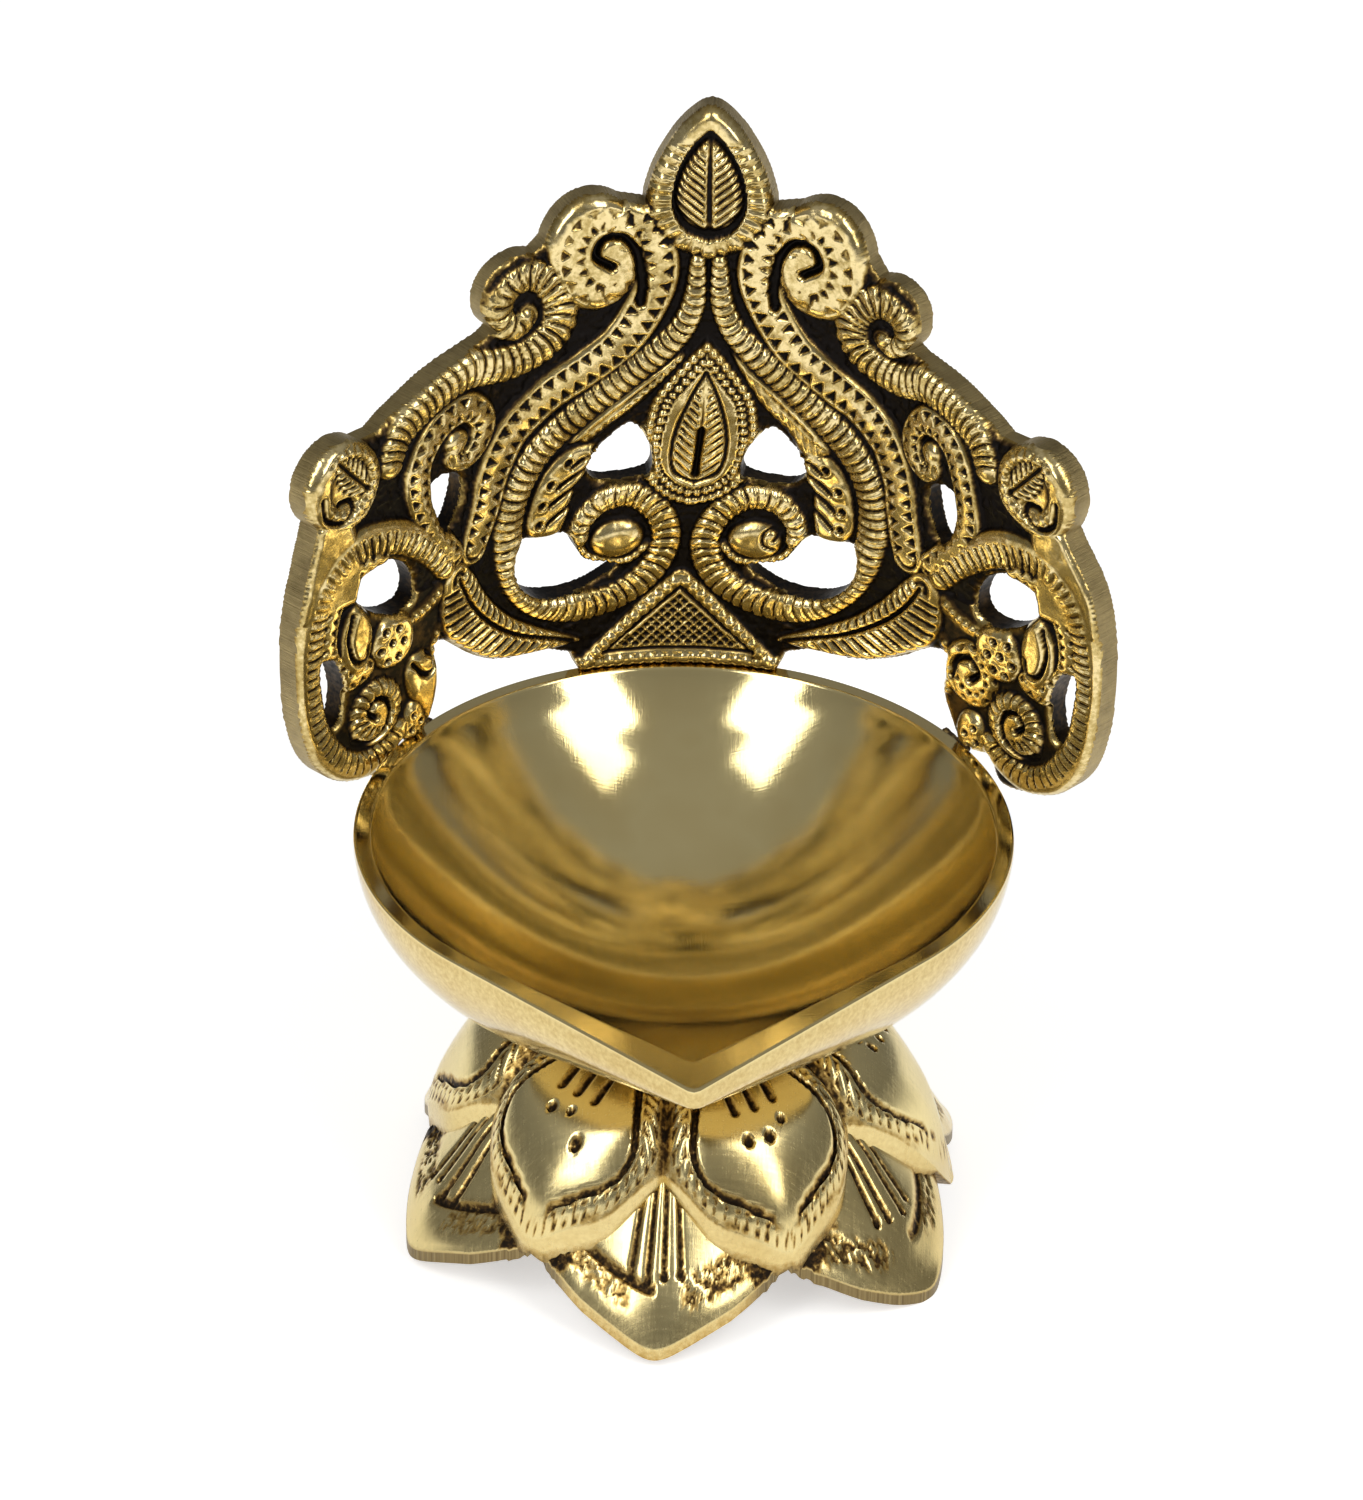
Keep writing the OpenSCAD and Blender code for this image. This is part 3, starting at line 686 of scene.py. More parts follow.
def shared_relief():
    """What the two halves of the crest have in common."""
    r = Relief()
    r.height += 0.20 * noise(A.shape, 0.8 / STEP, 3) + 0.12 * noise(A.shape, 0.4 / STEP, 4) + 0.08
    # the ground of the ear, and the smooth margin at its shoulder
    r.raise_to(np.where((A > 35) & (V < 20), 0.42, 0.0))
    r.raise_to(1.1 * smooth(47, 50, A) * smooth(22, 24, V) * smooth(37, 35, V))
    # bands behind the ropes, and the big scroll at the top
    r.band(PUNCHED, [4.4, 5.2, 5.6, 5.6, 5.5, 5.4, 5.2, 4.8], "triangles", 1.8, 1.15, 0.28, depth=0.42)
    r.band(SHOULDER, [4.2, 4.8, 4.9, 4.9, 4.8, 4.5, 3.8, 3.0], "crescents", 1.25, 1.25, depth=0.42)
    scroll = r.boss(SCROLL, SCROLL_RX, SCROLL_RY, 1.35, 2.2, 0.45)
    distance, along, side = line_field(smooth_run(ellipse((13.0, 58.4), 3.7, 5.1, 250, -80)), reach=3)
    ring = (scroll > 0.3) & (distance < 2.0) & (np.hypot(A - 12.2, V - 57.2) > 2.6)
    r.lower(triangles(along, side * distance / 2.3, 1.9, 0.2), ring)
    r.groove([[8.1, 51.6], [7.9, 54.5], [8.6, 58.4], [10.4, 60.8], [12.8, 60.6], [13.6, 58.4], [11.7, 56.9]],
             1.0, 1.5)
    finial(r)
    medallion(r)
    # leaves between the ropes and the ear
    r.pad(closed_run(DOTTED_LEAF), 1.05, 1.1)
    for start, end in (([13.9, 25.2], [18.1, 22.6]), ([13.8, 27.4], [18.0, 25.1]),
                       ([13.4, 29.3], [17.2, 27.4]), ([13.0, 31.0], [15.6, 29.9])):
        r.groove([start, [(start[0] + end[0]) / 2, (start[1] + end[1]) / 2 + 0.25], end], 0.62, 0.8)
    r.dots([[12.9, 31.9], [16.2, 30.6], [18.3, 28.0], [19.2, 25.3], [19.3, 22.7]], 0.48)
    r.veins(r.pad(closed_run(LOW_LEAF), 1.15, 1.3), LOW_LEAF_RIB, 1.42, 0.45, 0.5, 0.22, 0.8, 0.9)
    basket_triangle(r)
    # the rope lies on top of all these, and ends round an egg
    r.band(ROPE, ROPE_WIDTHS, "crescents", 1.32, 1.3, depth=0.4, flip=-1)
    r.boss(ROPE_END, 3.6, 2.95, 1.35, 2.4, 0.6)
    r.band([[4.8, 17.4], [6.6, 15.7], [9.6, 15.3], [12.4, 16.9], [13.7, 19]], [1.6, 1.8, 1.6], "beads",
           1.1, 0.95)
    return r


def knob(r):
    """The round end above the ear: a beaded ring, a leaf and a hooked cut."""
    inside = r.boss(KNOB, 6.1, 6.1, 1.3, 1.8, 0.45)
    _, around = shape_field(ellipse(KNOB_RING, 4.3, 4.3)[:-1])
    out = np.hypot(A - KNOB_RING[0], V - KNOB_RING[1])
    ring = (np.abs(out - 4.2) < 0.75) & (A < 52.5) & (inside > 0.4)
    r.lower(0.22 - beads(around, out - 4.2, 1.3, 0.7, 0.4), ring)
    r.lower(0.35 * smooth(3.5, 3.1, out), (out < 3.5) & (inside > 0))
    leaf = r.pad(closed_run([[45.9, 38], [46, 41.2], [47.8, 43.4], [50.8, 44.2], [51.8, 42.2], [50.8, 39.6],
                             [48.4, 37.8]]), 1.3, 1.1)
    r.veins(leaf, [[45.6, 37.6], [48.4, 40.6], [51.4, 44]], 1.1, 0.7, 0.42, 0.22)
    r.groove([[53.6, 39.4], [53.2, 36.6], [51, 35.2], [48.8, 36.2], [49, 37.6], [50.8, 37.8]], 0.7, 0.9)


def ear_relief(r, right):
    """The ear and the scroll beside it; the ear's drop is smooth on the left and punched on the right."""
    r.band(INNER_SCROLL, [2.4, 3.2, 4.2, 4.3, 4.2, 4.0, 3.8], "triangles", 1.7, 1.2, 0.3, depth=0.36)
    r.boss((31.9, 38.3), 1.9, 1.7, 1.2, 1.6)
    knob(r)
    # inner ring, drop and notched rim
    r.band(EAR_INNER, [3.0, 3.6, 4.0, 4.0, 4.0, 3.6], "triangles", 1.5, 1.1, 0.35, depth=0.3)
    r.boss((49.9, 17.6), 2.9, 5.2, 1.35, 2.0)
    r.groove([[50.6, 21.4], [51.4, 18.4], [50.6, 15.2], [48.6, 14.6], [48.2, 16.4]], 0.7, 1.0)
    r.band(EAR_RIM, [3.8, 4.6, 5.0, 5.0, 5.0, 5.0, 5.0, 4.8, 4.4, 4.2, 3.6], "crescents", 1.3, 1.25,
           depth=0.36, marked=(-0.85, 0.3))
    # the rim's end curls into a notched ring round a dark eye
    ring = r.boss(EYE, 4.7, 4.8, 1.3, 1.9)
    way = np.arctan2(V - EYE[1], A - EYE[0]) * 3.3
    from_eye = np.hypot(A - EYE[0], V - EYE[1])
    r.lower(crescents(way, (from_eye - 3.1) / 1.5, 1.3, 0.4, 0.36), (ring > 0) & (from_eye > 1.9) & (V > 3.5))
    r.groove([[50.6, 3.4], [48.6, 2.6], [46.2, 3.4], [44.9, 5.6], [45.6, 7.7], [47.4, 8.2], [48.4, 6.9],
              [47.4, 5.8]], 0.75, 1.1)
    # two dotted buds
    r.boss((43.8, 15.2), 3.9, 3.9, 1.3, 1.4)
    r.dots([[43.3, 17.0], [45.5, 17.2], [44.5, 15.4], [42.5, 15.0], [46.4, 14.8], [43.5, 13.2], [45.4, 13.0]],
           0.45, 0.6)
    r.boss((40.2, 2.0), 2.6, 3.7, 1.2, 1.7)
    r.dots([[40.8, 3.4], [39.5, 2.2], [41.2, 1.5], [40, 0.4]], 0.38, 0.5)
    if right:
        r.boss((39.7, 10.6), 4.5, 4.8, 1.2, 1.9)
        r.groove([[36.9, 9.2], [37.6, 11.8], [39.6, 12.6], [40.8, 11.2], [39.9, 9.9]], 0.9, 1.1)
        distance, along, side = line_field(smooth_run(ellipse((40, 10.8), 2.9, 3.2, 120, -170)), 2)
        r.lower(triangles(along, side * distance / 1.2, 1.5, 0.25), distance < 1.1)
    else:
        r.pad(closed_run([[35.2, 6.5], [35.4, 9.5], [37.4, 11.8], [40.6, 11.6], [41.9, 9.2], [41.3, 6.2],
                          [39.8, 3.6], [37.8, 1.2], [36.2, 3.0]]), 1.4, 2.2)
        r.groove([[40.4, 10.4], [38.6, 8.4], [36.8, 8.6], [36.5, 10.2], [37.8, 11.2]], 0.7, 1.0)
    # roots behind the ear
    r.band([[34.8, 18.6], [37.6, 17.2], [41, 16.6]], [3.4, 3.0], "beads", 1.1, 0.95)
    r.band([[35.2, 13.4], [36.4, 10.2], [36.2, 6.6]], [2.6, 2.4], "beads", 1.1, 0.85)


def crest_relief(shared, side):
    """The heights of one half, where side is 1 for the right and -1 for the left."""
    r = shared.copy()
    if side > 0:
        # a smooth flare under the right rope, brushed along its length
        flare = r.pad(closed_run([[2.6, 45.2], [5.4, 43.2], [9.6, 39], [14.6, 35], [16.6, 32.8], [13.4, 31.2],
                                  [10.4, 34.6], [6.6, 38], [4.2, 41.6]]), 0.95, 1.2)
        r.lower(0.10 * np.abs(np.sin((A * 0.75 + V * 0.2) * 5.2)), flare > 0.2)
        r.groove([[10.9, 19], [11.3, 20.1], [10.3, 20.6], [9.5, 19.8], [9.7, 18.4], [11, 17.8]], 0.42, 0.5)
    else:
        r.band([[3.0, 44], [6.4, 40.2], [10.4, 36.6], [14.2, 33.6]], [1.2, 2.2, 2.4], "beads", 1.15, 0.95)
        r.pad(closed_run([[7.6, 40.6], [11.5, 38.2], [15.6, 34.6], [13.6, 33.6], [9.8, 36.8]]), 0.9, 0.9)
    ear_relief(r, side > 0)
    uneven = 0.03 * noise(A.shape, 1.1 / STEP, 11 + side) + 0.09 * noise(A.shape, 2.6 / STEP, 14 + side)
    return r.height + uneven * (r.height > 0.3)


# ---- crest: the casting ----

FRONT_ROUNDING = 0.95
WALL_LEVELS = (0.0, 0.06, 0.34, 0.7, 1.0)


def crest_mask():
    """Distance inside the crest's outline and outside its openings, on the half grid."""
    inside, _ = shape_field(mirrored(CREST_HALF))
    for opening in OPENINGS:
        hole, _ = shape_field(closed_run(opening))
        inside = np.minimum(inside, -hole)
    return inside


def both_sides(left, right):
    return np.concatenate([left[:, :0:-1], right], axis=1)


def stained(height, near):
    """How dark the metal is: dark ground and hollows, with the worn edges clean."""
    hollow = np.clip((blur(height, int(0.8 / STEP)) - height) / 0.42, 0, 1)
    dip = np.clip((blur(height, int(0.4 / STEP)) - height) / 0.2, 0, 1)
    ground = 0.86 * (1 - smooth(0.3, 0.95, height + 0.7 * near))
    return np.maximum(np.clip(hollow * 1.2 + 0.5 * dip, 0, 1), ground) * (1 - 0.75 * near ** 2)


def cut_out(inside, u, v):
    """Keep the grid cells whose middle is inside, and pull the cut edge onto the outline.

    Returns the moved u and v, which points are used, and the faces between the used ones.
    """
    middle = (inside[:-1, :-1] + inside[1:, :-1] + inside[:-1, 1:] + inside[1:, 1:]) / 4
    index = np.arange(u.size).reshape(u.shape)
    cells = np.stack([index[:-1, :-1], index[:-1, 1:], index[1:, 1:], index[1:, :-1]], -1)
    kept = middle > 0
    used, dropped = np.zeros(u.size, bool), np.zeros(u.size, bool)
    used[cells[kept].ravel()] = True
    dropped[cells[~kept].ravel()] = True
    edge = (used & dropped).reshape(u.shape)
    grad_v, grad_u = np.gradient(inside, STEP)
    size = np.maximum(np.hypot(grad_u, grad_v), 0.3)
    pull = np.where(edge, np.clip(inside, -STEP, STEP) / size, 0)
    renumber = np.cumsum(used) - 1
    return u - pull * grad_u / size, v - pull * grad_v / size, used, renumber[cells[kept]]


def walk_rims(faces, u, v):
    """The edges that only one face has, in order round each outline.

    Returns their two ends, the way travelled at each end, and which belong to the longest outline.
    """
    pairs = np.concatenate([faces[:, [i, (i + 1) % 4]] for i in range(4)]).astype(np.int64)
    border = pairs[~np.isin(pairs @ [len(u), 1], pairs @ [1, len(u)])]
    following = {}
    for a, b in border:
        following.setdefault(int(a), []).append(int(b))
    ends, way, loops = [], [], []
    while following:
        start = here = next(iter(following))
        travelled = 0.0
        while here in following:
            ahead = following[here].pop()
            if not following[here]:
                del following[here]
            length = math.hypot(u[ahead] - u[here], v[ahead] - v[here])
            ends.append((here, ahead))
            way.append((travelled, travelled + length))
            loops.append(start)
            travelled += length
            here = ahead
            if here == start:
                break
    loops = np.array(loops)
    return np.array(ends), np.array(way), loops == np.bincount(loops).argmax()


def crest_casting():
    """Front, back and side walls; the walls have points of their own, so file marks run across them."""
    mask = crest_mask()
    shared = shared_relief()
    inside = both_sides(mask, mask)
    height = both_sides(crest_relief(shared, -1), crest_relief(shared, 1))
    # filed and worn edges: the front rounds off towards every outline
    near = np.clip((FRONT_ROUNDING - inside) / FRONT_ROUNDING, 0, 1)
    height = np.minimum(height, RELIEF + 0.08) - FRONT_ROUNDING * 0.75 * (1 - np.sqrt(1 - near ** 2))
    patina = stained(height, near)
    u, v, used, faces = cut_out(inside, both_sides(-A, A), both_sides(V, V))
    shape = u.shape
    back = CREST_T - 0.07 + 0.05 * noise(shape, 1.6 / STEP, 21) - 0.35 * (1 - np.sqrt(1 - near ** 2))
    stain = 0.36 + 0.07 * noise(shape, 3 / STEP, 22) + 0.07 * noise(shape, 0.9 / STEP, 23)
    u, v, front, patina, back, stain = (x.ravel()[used] for x in (u, v, RELIEF - height, patina, back, stain))
    count = len(u)
    points = [on_crest(u, v, front), on_crest(u, v, back)]
    patinas, fileds = [patina, stain], [np.zeros(count), np.full(count, 0.35)]
    runs = [np.zeros(count), u * 0.6]
    quads = [faces, faces[:, ::-1] + count]
    ends, way, outer = walk_rims(faces, u, v)
    total, wall = 2 * count, []
    for side in (0, 1):
        end = ends[:, side]
        for level in WALL_LEVELS:
            points.append(on_crest(u[end], v[end], front[end] + (back[end] - front[end]) * level))
            patinas.append(np.where(outer, 0.22, 0.22 + 0.5 * (level > 0.02)))
            fileds.append(np.where(outer, 1.0 - 0.6 * (level == 0), 0.0))
            runs.append(way[:, side])
            wall.append(total + np.arange(len(end)))
            total += len(end)
    n = len(WALL_LEVELS)
    for k in range(n - 1):
        quads.append(np.stack([wall[n + k], wall[k], wall[k + 1], wall[n + k + 1]], 1))
    new_piece("crest_casting", np.vstack(points), np.vstack(quads), relief_metal, "bowl", "cast_brass",
              ["back_crest"], patina=np.clip(np.concatenate(patinas), 0, 1), filed=np.concatenate(fileds),
              run=np.concatenate(runs))


crest_casting()


# ---- lotus foot ----

class Petals:
    """A row of petals, each with an outline of two arcs that meet at its tip.

    reach is how much longer than the row each petal is, from the one at the front round to the left.
    """

    def __init__(self, tip, arc, back, turn, blunt, reach):
        self.tip, self.arc, self.back, self.blunt, self.reach = tip, arc, back, blunt, np.array(reach)
        self.start = math.radians(-90 + FOOT_TURN + turn)
        self.offset = math.sqrt(arc ** 2 - (tip - back) ** 2)

    def nearest(self, angle):
        """The nearest petal's number, and the angle from its middle line."""
        number = np.round((angle - self.start) / (2 * math.pi / PETALS))
        return np.mod(number, PETALS), angle - self.start - number * 2 * math.pi / PETALS

    def edge(self, angle):
        """Radius of the outline in each direction."""
        number, local = self.nearest(angle)
        local = np.hypot(local, self.blunt)
        half = self.back * np.cos(local) - self.offset * np.sin(local)
        edge = half + np.sqrt(half ** 2 + self.arc ** 2 - self.back ** 2 - self.offset ** 2)
        return edge + self.reach[number.astype(int)] * smooth(28.5, self.tip - 1, edge)

    def frame(self, r, angle, share):
        """Petal number, place along and across it, distance inside its edge, and distance to the next petal.

        share scales the distance to the real outline, which differs from petal to petal.
        """
        number, local = self.nearest(angle)
        along, across = r * np.cos(local), r * np.sin(local)
        inside = self.arc - np.hypot(along - self.back, np.abs(across) + self.offset)
        inside = np.minimum(inside, (self.edge(angle) - r) * share)
        return number, along, across, inside, r * np.sin(math.pi / PETALS - np.abs(local))

    def way(self, along, across):
        """The way along the petal's edge."""
        return self.arc * np.arctan2(np.abs(across) + self.offset, along - self.back)


lower_row = Petals(38.4, 27.0, 12.6, 0.0, 0.04, (-1.3, 0, 0, 0, -0.4, -1.2))
upper_row = Petals(34.0, 20.0, 15.1, 180 / PETALS, 0.06, (-1.5, 1.2, 0, 0, -1.6, -1.4))
LOWER_DOME = [[0, 25], [16, 24.5], [22, 21], [26, 16.5], [29.5, 12], [33, 7.6], [36, 3.6], [38.2, 1.3]]
UPPER_DOME = [[0, TABLE_Z], [13, TABLE_Z], [16, TABLE_Z - 0.4], [22, 26.6], [26.5, 23.2], [30, 18.4],
              [32.4, 13.6], [33.6, 10.4], [34.2, 8.4]]
HOLLOW_DOME = [[0, 25.5], [12, 25.5], [15, 22.2], [20.5, 18.8], [24.2, 14.8], [27.8, 10.2], [31.3, 5.6],
               [34.4, 1.6], [37, -1]]
HOLLOW_R = 14.0
RIDGE_H, RIDGE_HALF = 1.9, 9
LOWER_SLOTS, UPPER_SLOTS = (-3.0, -1.1, 0.9, 2.8), (-2.9, -0.4, 2.2)
LINE_INSET, PITS_INSET = 3.0, 2.2
UPPER_ROLL, VALLEY_DEPTH = 3.6, 0.9
GROOVE_INSET, BEAD_INSET, BEAD_PITCH = 3.5, 1.75, 1.35
AROUND = PETALS * 2 * 60
theta = turn_of(AROUND) + math.radians(-90 + FOOT_TURN)


def dome(profile, r):
    line = smooth_run(profile, steps=8)
    return np.interp(r, line[:, 0], line[:, 1])


def slot_cut(along, across, middle, start, end, width):
    """A long cut with round ends, in a petal's own frame."""
    reach = np.clip(along, start, end)
    fade = 0.55 + 0.45 * smooth(start, end, along)
    return np.exp(-(np.hypot(along - reach, across - middle) / (width * fade)) ** 2)


def pit(along, across, a, b, radius):
    """A round punch mark."""
    return smooth(radius * 1.2, radius * 0.6, np.hypot(along - a, across - b))


def stipple(r, angle, grain, seed):
    """Coarse random pits, from a grid laid in plan."""
    last, reach = 399, 40
    field = noise((last + 1, last + 1), grain, seed)
    x = np.clip((r * np.cos(angle) + reach) / (2 * reach) * last, 0, last - 0.1)
    y = np.clip((r * np.sin(angle) + reach) / (2 * reach) * last, 0, last - 0.1)
    i, j = x.astype(int), y.astype(int)
    tx, ty = x - i, y - j
    return ((field[i, j] * (1 - tx) + field[i + 1, j] * tx) * (1 - ty)
            + (field[i, j + 1] * (1 - tx) + field[i + 1, j + 1] * tx) * ty)


def rolled(inside, width, drop):
    """How far a surface has rolled down on its way to an edge."""
    return drop * (1 - np.sqrt(1 - np.clip(1 - inside / width, 0, 1) ** 2))


def lower_surface(r, angle):
    """Height and patina of the lower petals: four slots, a row of pits, a line or a pitted border, and a band
    of painted shade where they run in under the upper petals.
    """
    number, along, across, inside, _ = lower_row.frame(r, angle, 0.85)
    ridge = RIDGE_H * np.clip(1 - np.hypot(across, 0.5) / RIDGE_HALF, 0, 1)
    z = dome(LOWER_DOME, r) + ridge * smooth(20, 28, along) * smooth(38.3, 33, r)
    z = z - rolled(inside, 1.5, 0.9) * smooth(38.5, 36, r)
    cut = np.zeros(r.shape)
    for k, middle in enumerate(LOWER_SLOTS):
        end = 31.6 - 0.22 * abs(middle) + 0.8 * (scatter(number * 3 + k) - 0.5)
        lean = middle * (1 + 0.055 * (along - 30)) + 0.5 * (scatter(number * 5 + k) - 0.5)
        cut = np.maximum(cut, slot_cut(along, across, lean, 23, end, 0.36) * 0.75)
        cut = np.maximum(cut, pit(along, across - lean, end + 0.75, 0, 0.52) * 0.85)
    side = np.sign(across) * np.where(np.mod(number, 2) == 0, 1, -1)
    line = np.exp(-((inside - LINE_INSET) / 0.34) ** 2)
    line = line * smooth(24.5, 26.5, along) * smooth(34.8, 33.8, along)
    cut = np.maximum(cut, line * 0.75 * (side < 0))
    rough, fine = stipple(r, angle, 2.4, 31), stipple(r, angle, 1.5, 33)
    border = smooth(1.5, 0.7, np.abs(inside - PITS_INSET)) * smooth(24, 27, along) * smooth(35.0, 33.8, along)
    border = border * smooth(2.4, 4.2, np.abs(across))
    pits = smooth(-0.25, 0.3, fine) * border * np.where(side > 0, 1.0, 0.7)
    # painted shade: a dark band where each lower petal runs in under the upper petals, also roughened a
    # little into the surface; it joins the real dark of the cuts and pits in the patina
    shade = 1 - smooth(0.4, 3.0, along - 0.45 * np.abs(across) - 22.5 + 1.2 * rough)
    cut = np.maximum(cut, np.maximum(pits * 0.42, shade * 0.5 * smooth(-0.2, 0.5, rough)))
    patina = np.clip(np.maximum(np.maximum(cut * 1.35, pits * 0.75), shade), 0, 1)
    return z - cut * 0.85, patina


def upper_surface(r, angle):
    """Height and patina of the upper petals: slots, pits, a groove and a row of beads along the edge."""
    number, along, across, inside, valley = upper_row.frame(r, angle, 0.8)
    z = dome(UPPER_DOME, r)
    roll = np.clip(1 - inside / (4.8 - 2.8 * smooth(27, 32, r)), 0, 1) ** 2
    z = z - UPPER_ROLL * roll * smooth(13, 21, r)
    # distances from the edge are measured over the slope, not in plan
    over = np.hypot(np.diff(r, axis=0), np.diff(z, axis=0))[::-1].cumsum(0)[::-1]
    stretch = over / (r[-1:] - r[:-1])
    inside = inside * np.concatenate([stretch, stretch[-1:]])
    both = np.clip(0.5 + (inside - valley) / 5, 0, 1)
    margin = inside + (valley - inside) * both - 2.5 * both * (1 - both)
    z = z - VALLEY_DEPTH * np.clip(1 - valley / 3.2, 0, 1) ** 2 * smooth(13, 21, r)
    cut = smooth(0.52, 0.22, np.abs(margin - GROOVE_INSET))
    cut = cut * smooth(13, 16, along) * smooth(31.0, 30.2, along)
    cut = cut * smooth(1.2, 2.0, np.abs(across))
    for k, middle in enumerate(UPPER_SLOTS):
        end = 20.6 + 1.3 * scatter(number * 7 + k)
        lean = middle * (0.75 + 0.25 * along / 20)
        cut = np.maximum(cut, slot_cut(along, across, lean, 12, end, 0.42) * 0.85)
        a = 22.8 + 3.2 * scatter(number * 11 + k)
        b = -2.8 + 2.7 * k + 1.2 * (scatter(number * 13 + k) - 0.5)
        cut = np.maximum(cut, pit(along, across, a, b, 0.45 + 0.25 * scatter(number + k)))
    place = broken(upper_row.way(along, across) / BEAD_PITCH)[1] * BEAD_PITCH
    aside = margin - BEAD_INSET
    row = smooth(1.0, 0.8, np.abs(aside)) * smooth(14, 17, r)
    bead = row * np.sqrt(np.clip(1 - (place / 0.66) ** 2 - (aside / 0.95) ** 2, 0, 1))
    dark = np.exp(-(valley / 0.75) ** 2) * smooth(26, 22, r)
    dark = np.clip(dark + 0.5 * np.exp(-(margin / 0.7) ** 2) * smooth(31, 28, along), 0, 1)
    patina = np.maximum(cut * 1.2, dark * (0.7 + 0.4 * stipple(r, angle, 2.2, 37)))
    patina = np.maximum(patina, 0.75 * row * smooth(0.5, 0.15, bead))
    return z - cut * 0.8 - 0.15 * row + 0.42 * bead - 0.25 * dark, np.clip(patina, 0, 1)


def petal_shell(name, surface, start, edge, count, rest):
    """A closed shell: rings over the top, then plain rings round the edge and back underneath.

    rest gives the plain rings from the height of the top's last ring: radius, height, patina and filing.
    """
    r = start + (edge - start) * np.linspace(0, 1, count)[:, None]
    z, patina = surface(r, np.broadcast_to(theta, r.shape))
    rings, shades, fileds = [polar(r, theta, z)], [patina], [np.zeros(r.shape)]
    for r, z, shade, filed in rest(z[-1]):
        rings.append(polar(r, theta, z)[None])
        shades.append(np.full((1, AROUND), shade))
        fileds.append(np.full((1, AROUND), filed))
    rings, shades = np.concatenate(rings), np.concatenate(shades)
    run = np.broadcast_to(turn_of(AROUND) * 33, shades.shape)
    faces = ring_faces(len(rings), AROUND, loop=True)[:, ::-1]
    # for the lower petals the patina attribute also carries their painted shade band
    new_piece(name, rings.reshape(-1, 3), faces, petal_metal, "foot", "polished_brass", ["lotus_foot"],
              patina=shades.ravel(), filed=np.concatenate(fileds).ravel(), run=run.ravel(), sharp=50)


def lower_rings(lip_z):
    """The lower petals' filed edge and their hollow underside."""
    edge = lower_row.edge(theta)
    below = np.maximum(np.maximum(dome(HOLLOW_DOME, edge), lip_z - 1.9), 0)
    # the front petal's edge is polished and the others are left as filed
    local = np.abs(np.mod(theta - math.radians(-90 + FOOT_TURN) + math.pi, 2 * math.pi) - math.pi)
    filed = smooth(0.30, 0.42, local)
    yield edge, np.maximum(lip_z - 0.3, 0.25), 0.1, 0.4 * filed
    yield edge, np.maximum(lip_z - 0.5, 0.2), 0.15, filed
    yield edge, (lip_z + below) / 2, 0.2, filed
    yield edge, below, 0.3, filed
    for inward in (0.02, 0.06, 0.12, 0.2, 0.3, 0.42, 0.56, 0.7, 0.84, 1.0):
        r = edge + (HOLLOW_R - edge) * inward
        yield r, np.maximum(dome(HOLLOW_DOME, r), below), 0.55, 0.0


def upper_rings(lip_z):
    """The upper petals' edge, tucked under onto the lower ones, and the underside of the table."""
    edge, inner = upper_row.edge(theta), lower_row.edge(theta)
    tuck = np.minimum(edge - 2.0, inner - 1.0)
    under = np.minimum(lip_z - 0.6, np.maximum(dome(LOWER_DOME, np.minimum(edge, inner)) - 1.6, 8.5))
    yield edge + 0.05, lip_z - 0.4, 0.1, 0.0
    yield edge, (lip_z + under) / 2, 0.1, 0.0
    yield edge - 0.1, under, 0.55, 0.6
    yield tuck, np.minimum(dome(LOWER_DOME, tuck) - 1.2, under), 0.6, 0.0
    for r, z in ((24.0, 16.4), (18.0, 21.9), (13.9, 23.7), (12.0, 25.5), (STUD_HOLE_R, 25.5)):
        yield r, z, 0.6, 0.0


petal_shell("lotus_lower_petals", lower_surface, HOLLOW_R, lower_row.edge(theta) - 0.15,
            92, lower_rings)
petal_shell("lotus_upper_petals", upper_surface, STUD_HOLE_R, upper_row.edge(theta) - 0.1,
            120, upper_rings)


# ---- oil bowl ----

def lipped_radius(angle, z, r, depth, reach, lip_bottom, power=2.0):
    """Radius of the round bowl drawn out to its lip: the widest of the discs between the two.

    power shapes the round part: 2 gives an ellipsoid, 1 a paraboloid.
    """
    ahead = -np.sin(angle)
    best = np.zeros(np.broadcast(angle, z).shape)
    for share in np.linspace(0, 0.995, 120):
        for lip_z in (lip_bottom, RIM_Z):
            level = np.minimum((z - share * lip_z) / (1 - share), RIM_Z)
            drop = (RIM_Z - level) / depth
            disc = (1 - share) * r * np.sqrt(np.clip(1 - drop ** power, 0, 1)) + share * LIP_BLUNT
            centre = share * (reach - LIP_BLUNT)
            root = disc ** 2 - (centre ** 2) * (1 - ahead ** 2)
            hit = centre * ahead + np.sqrt(np.clip(root, 0, None))
            best = np.maximum(best, np.where((root > 0) & (drop < 1), hit, 0))
    return best


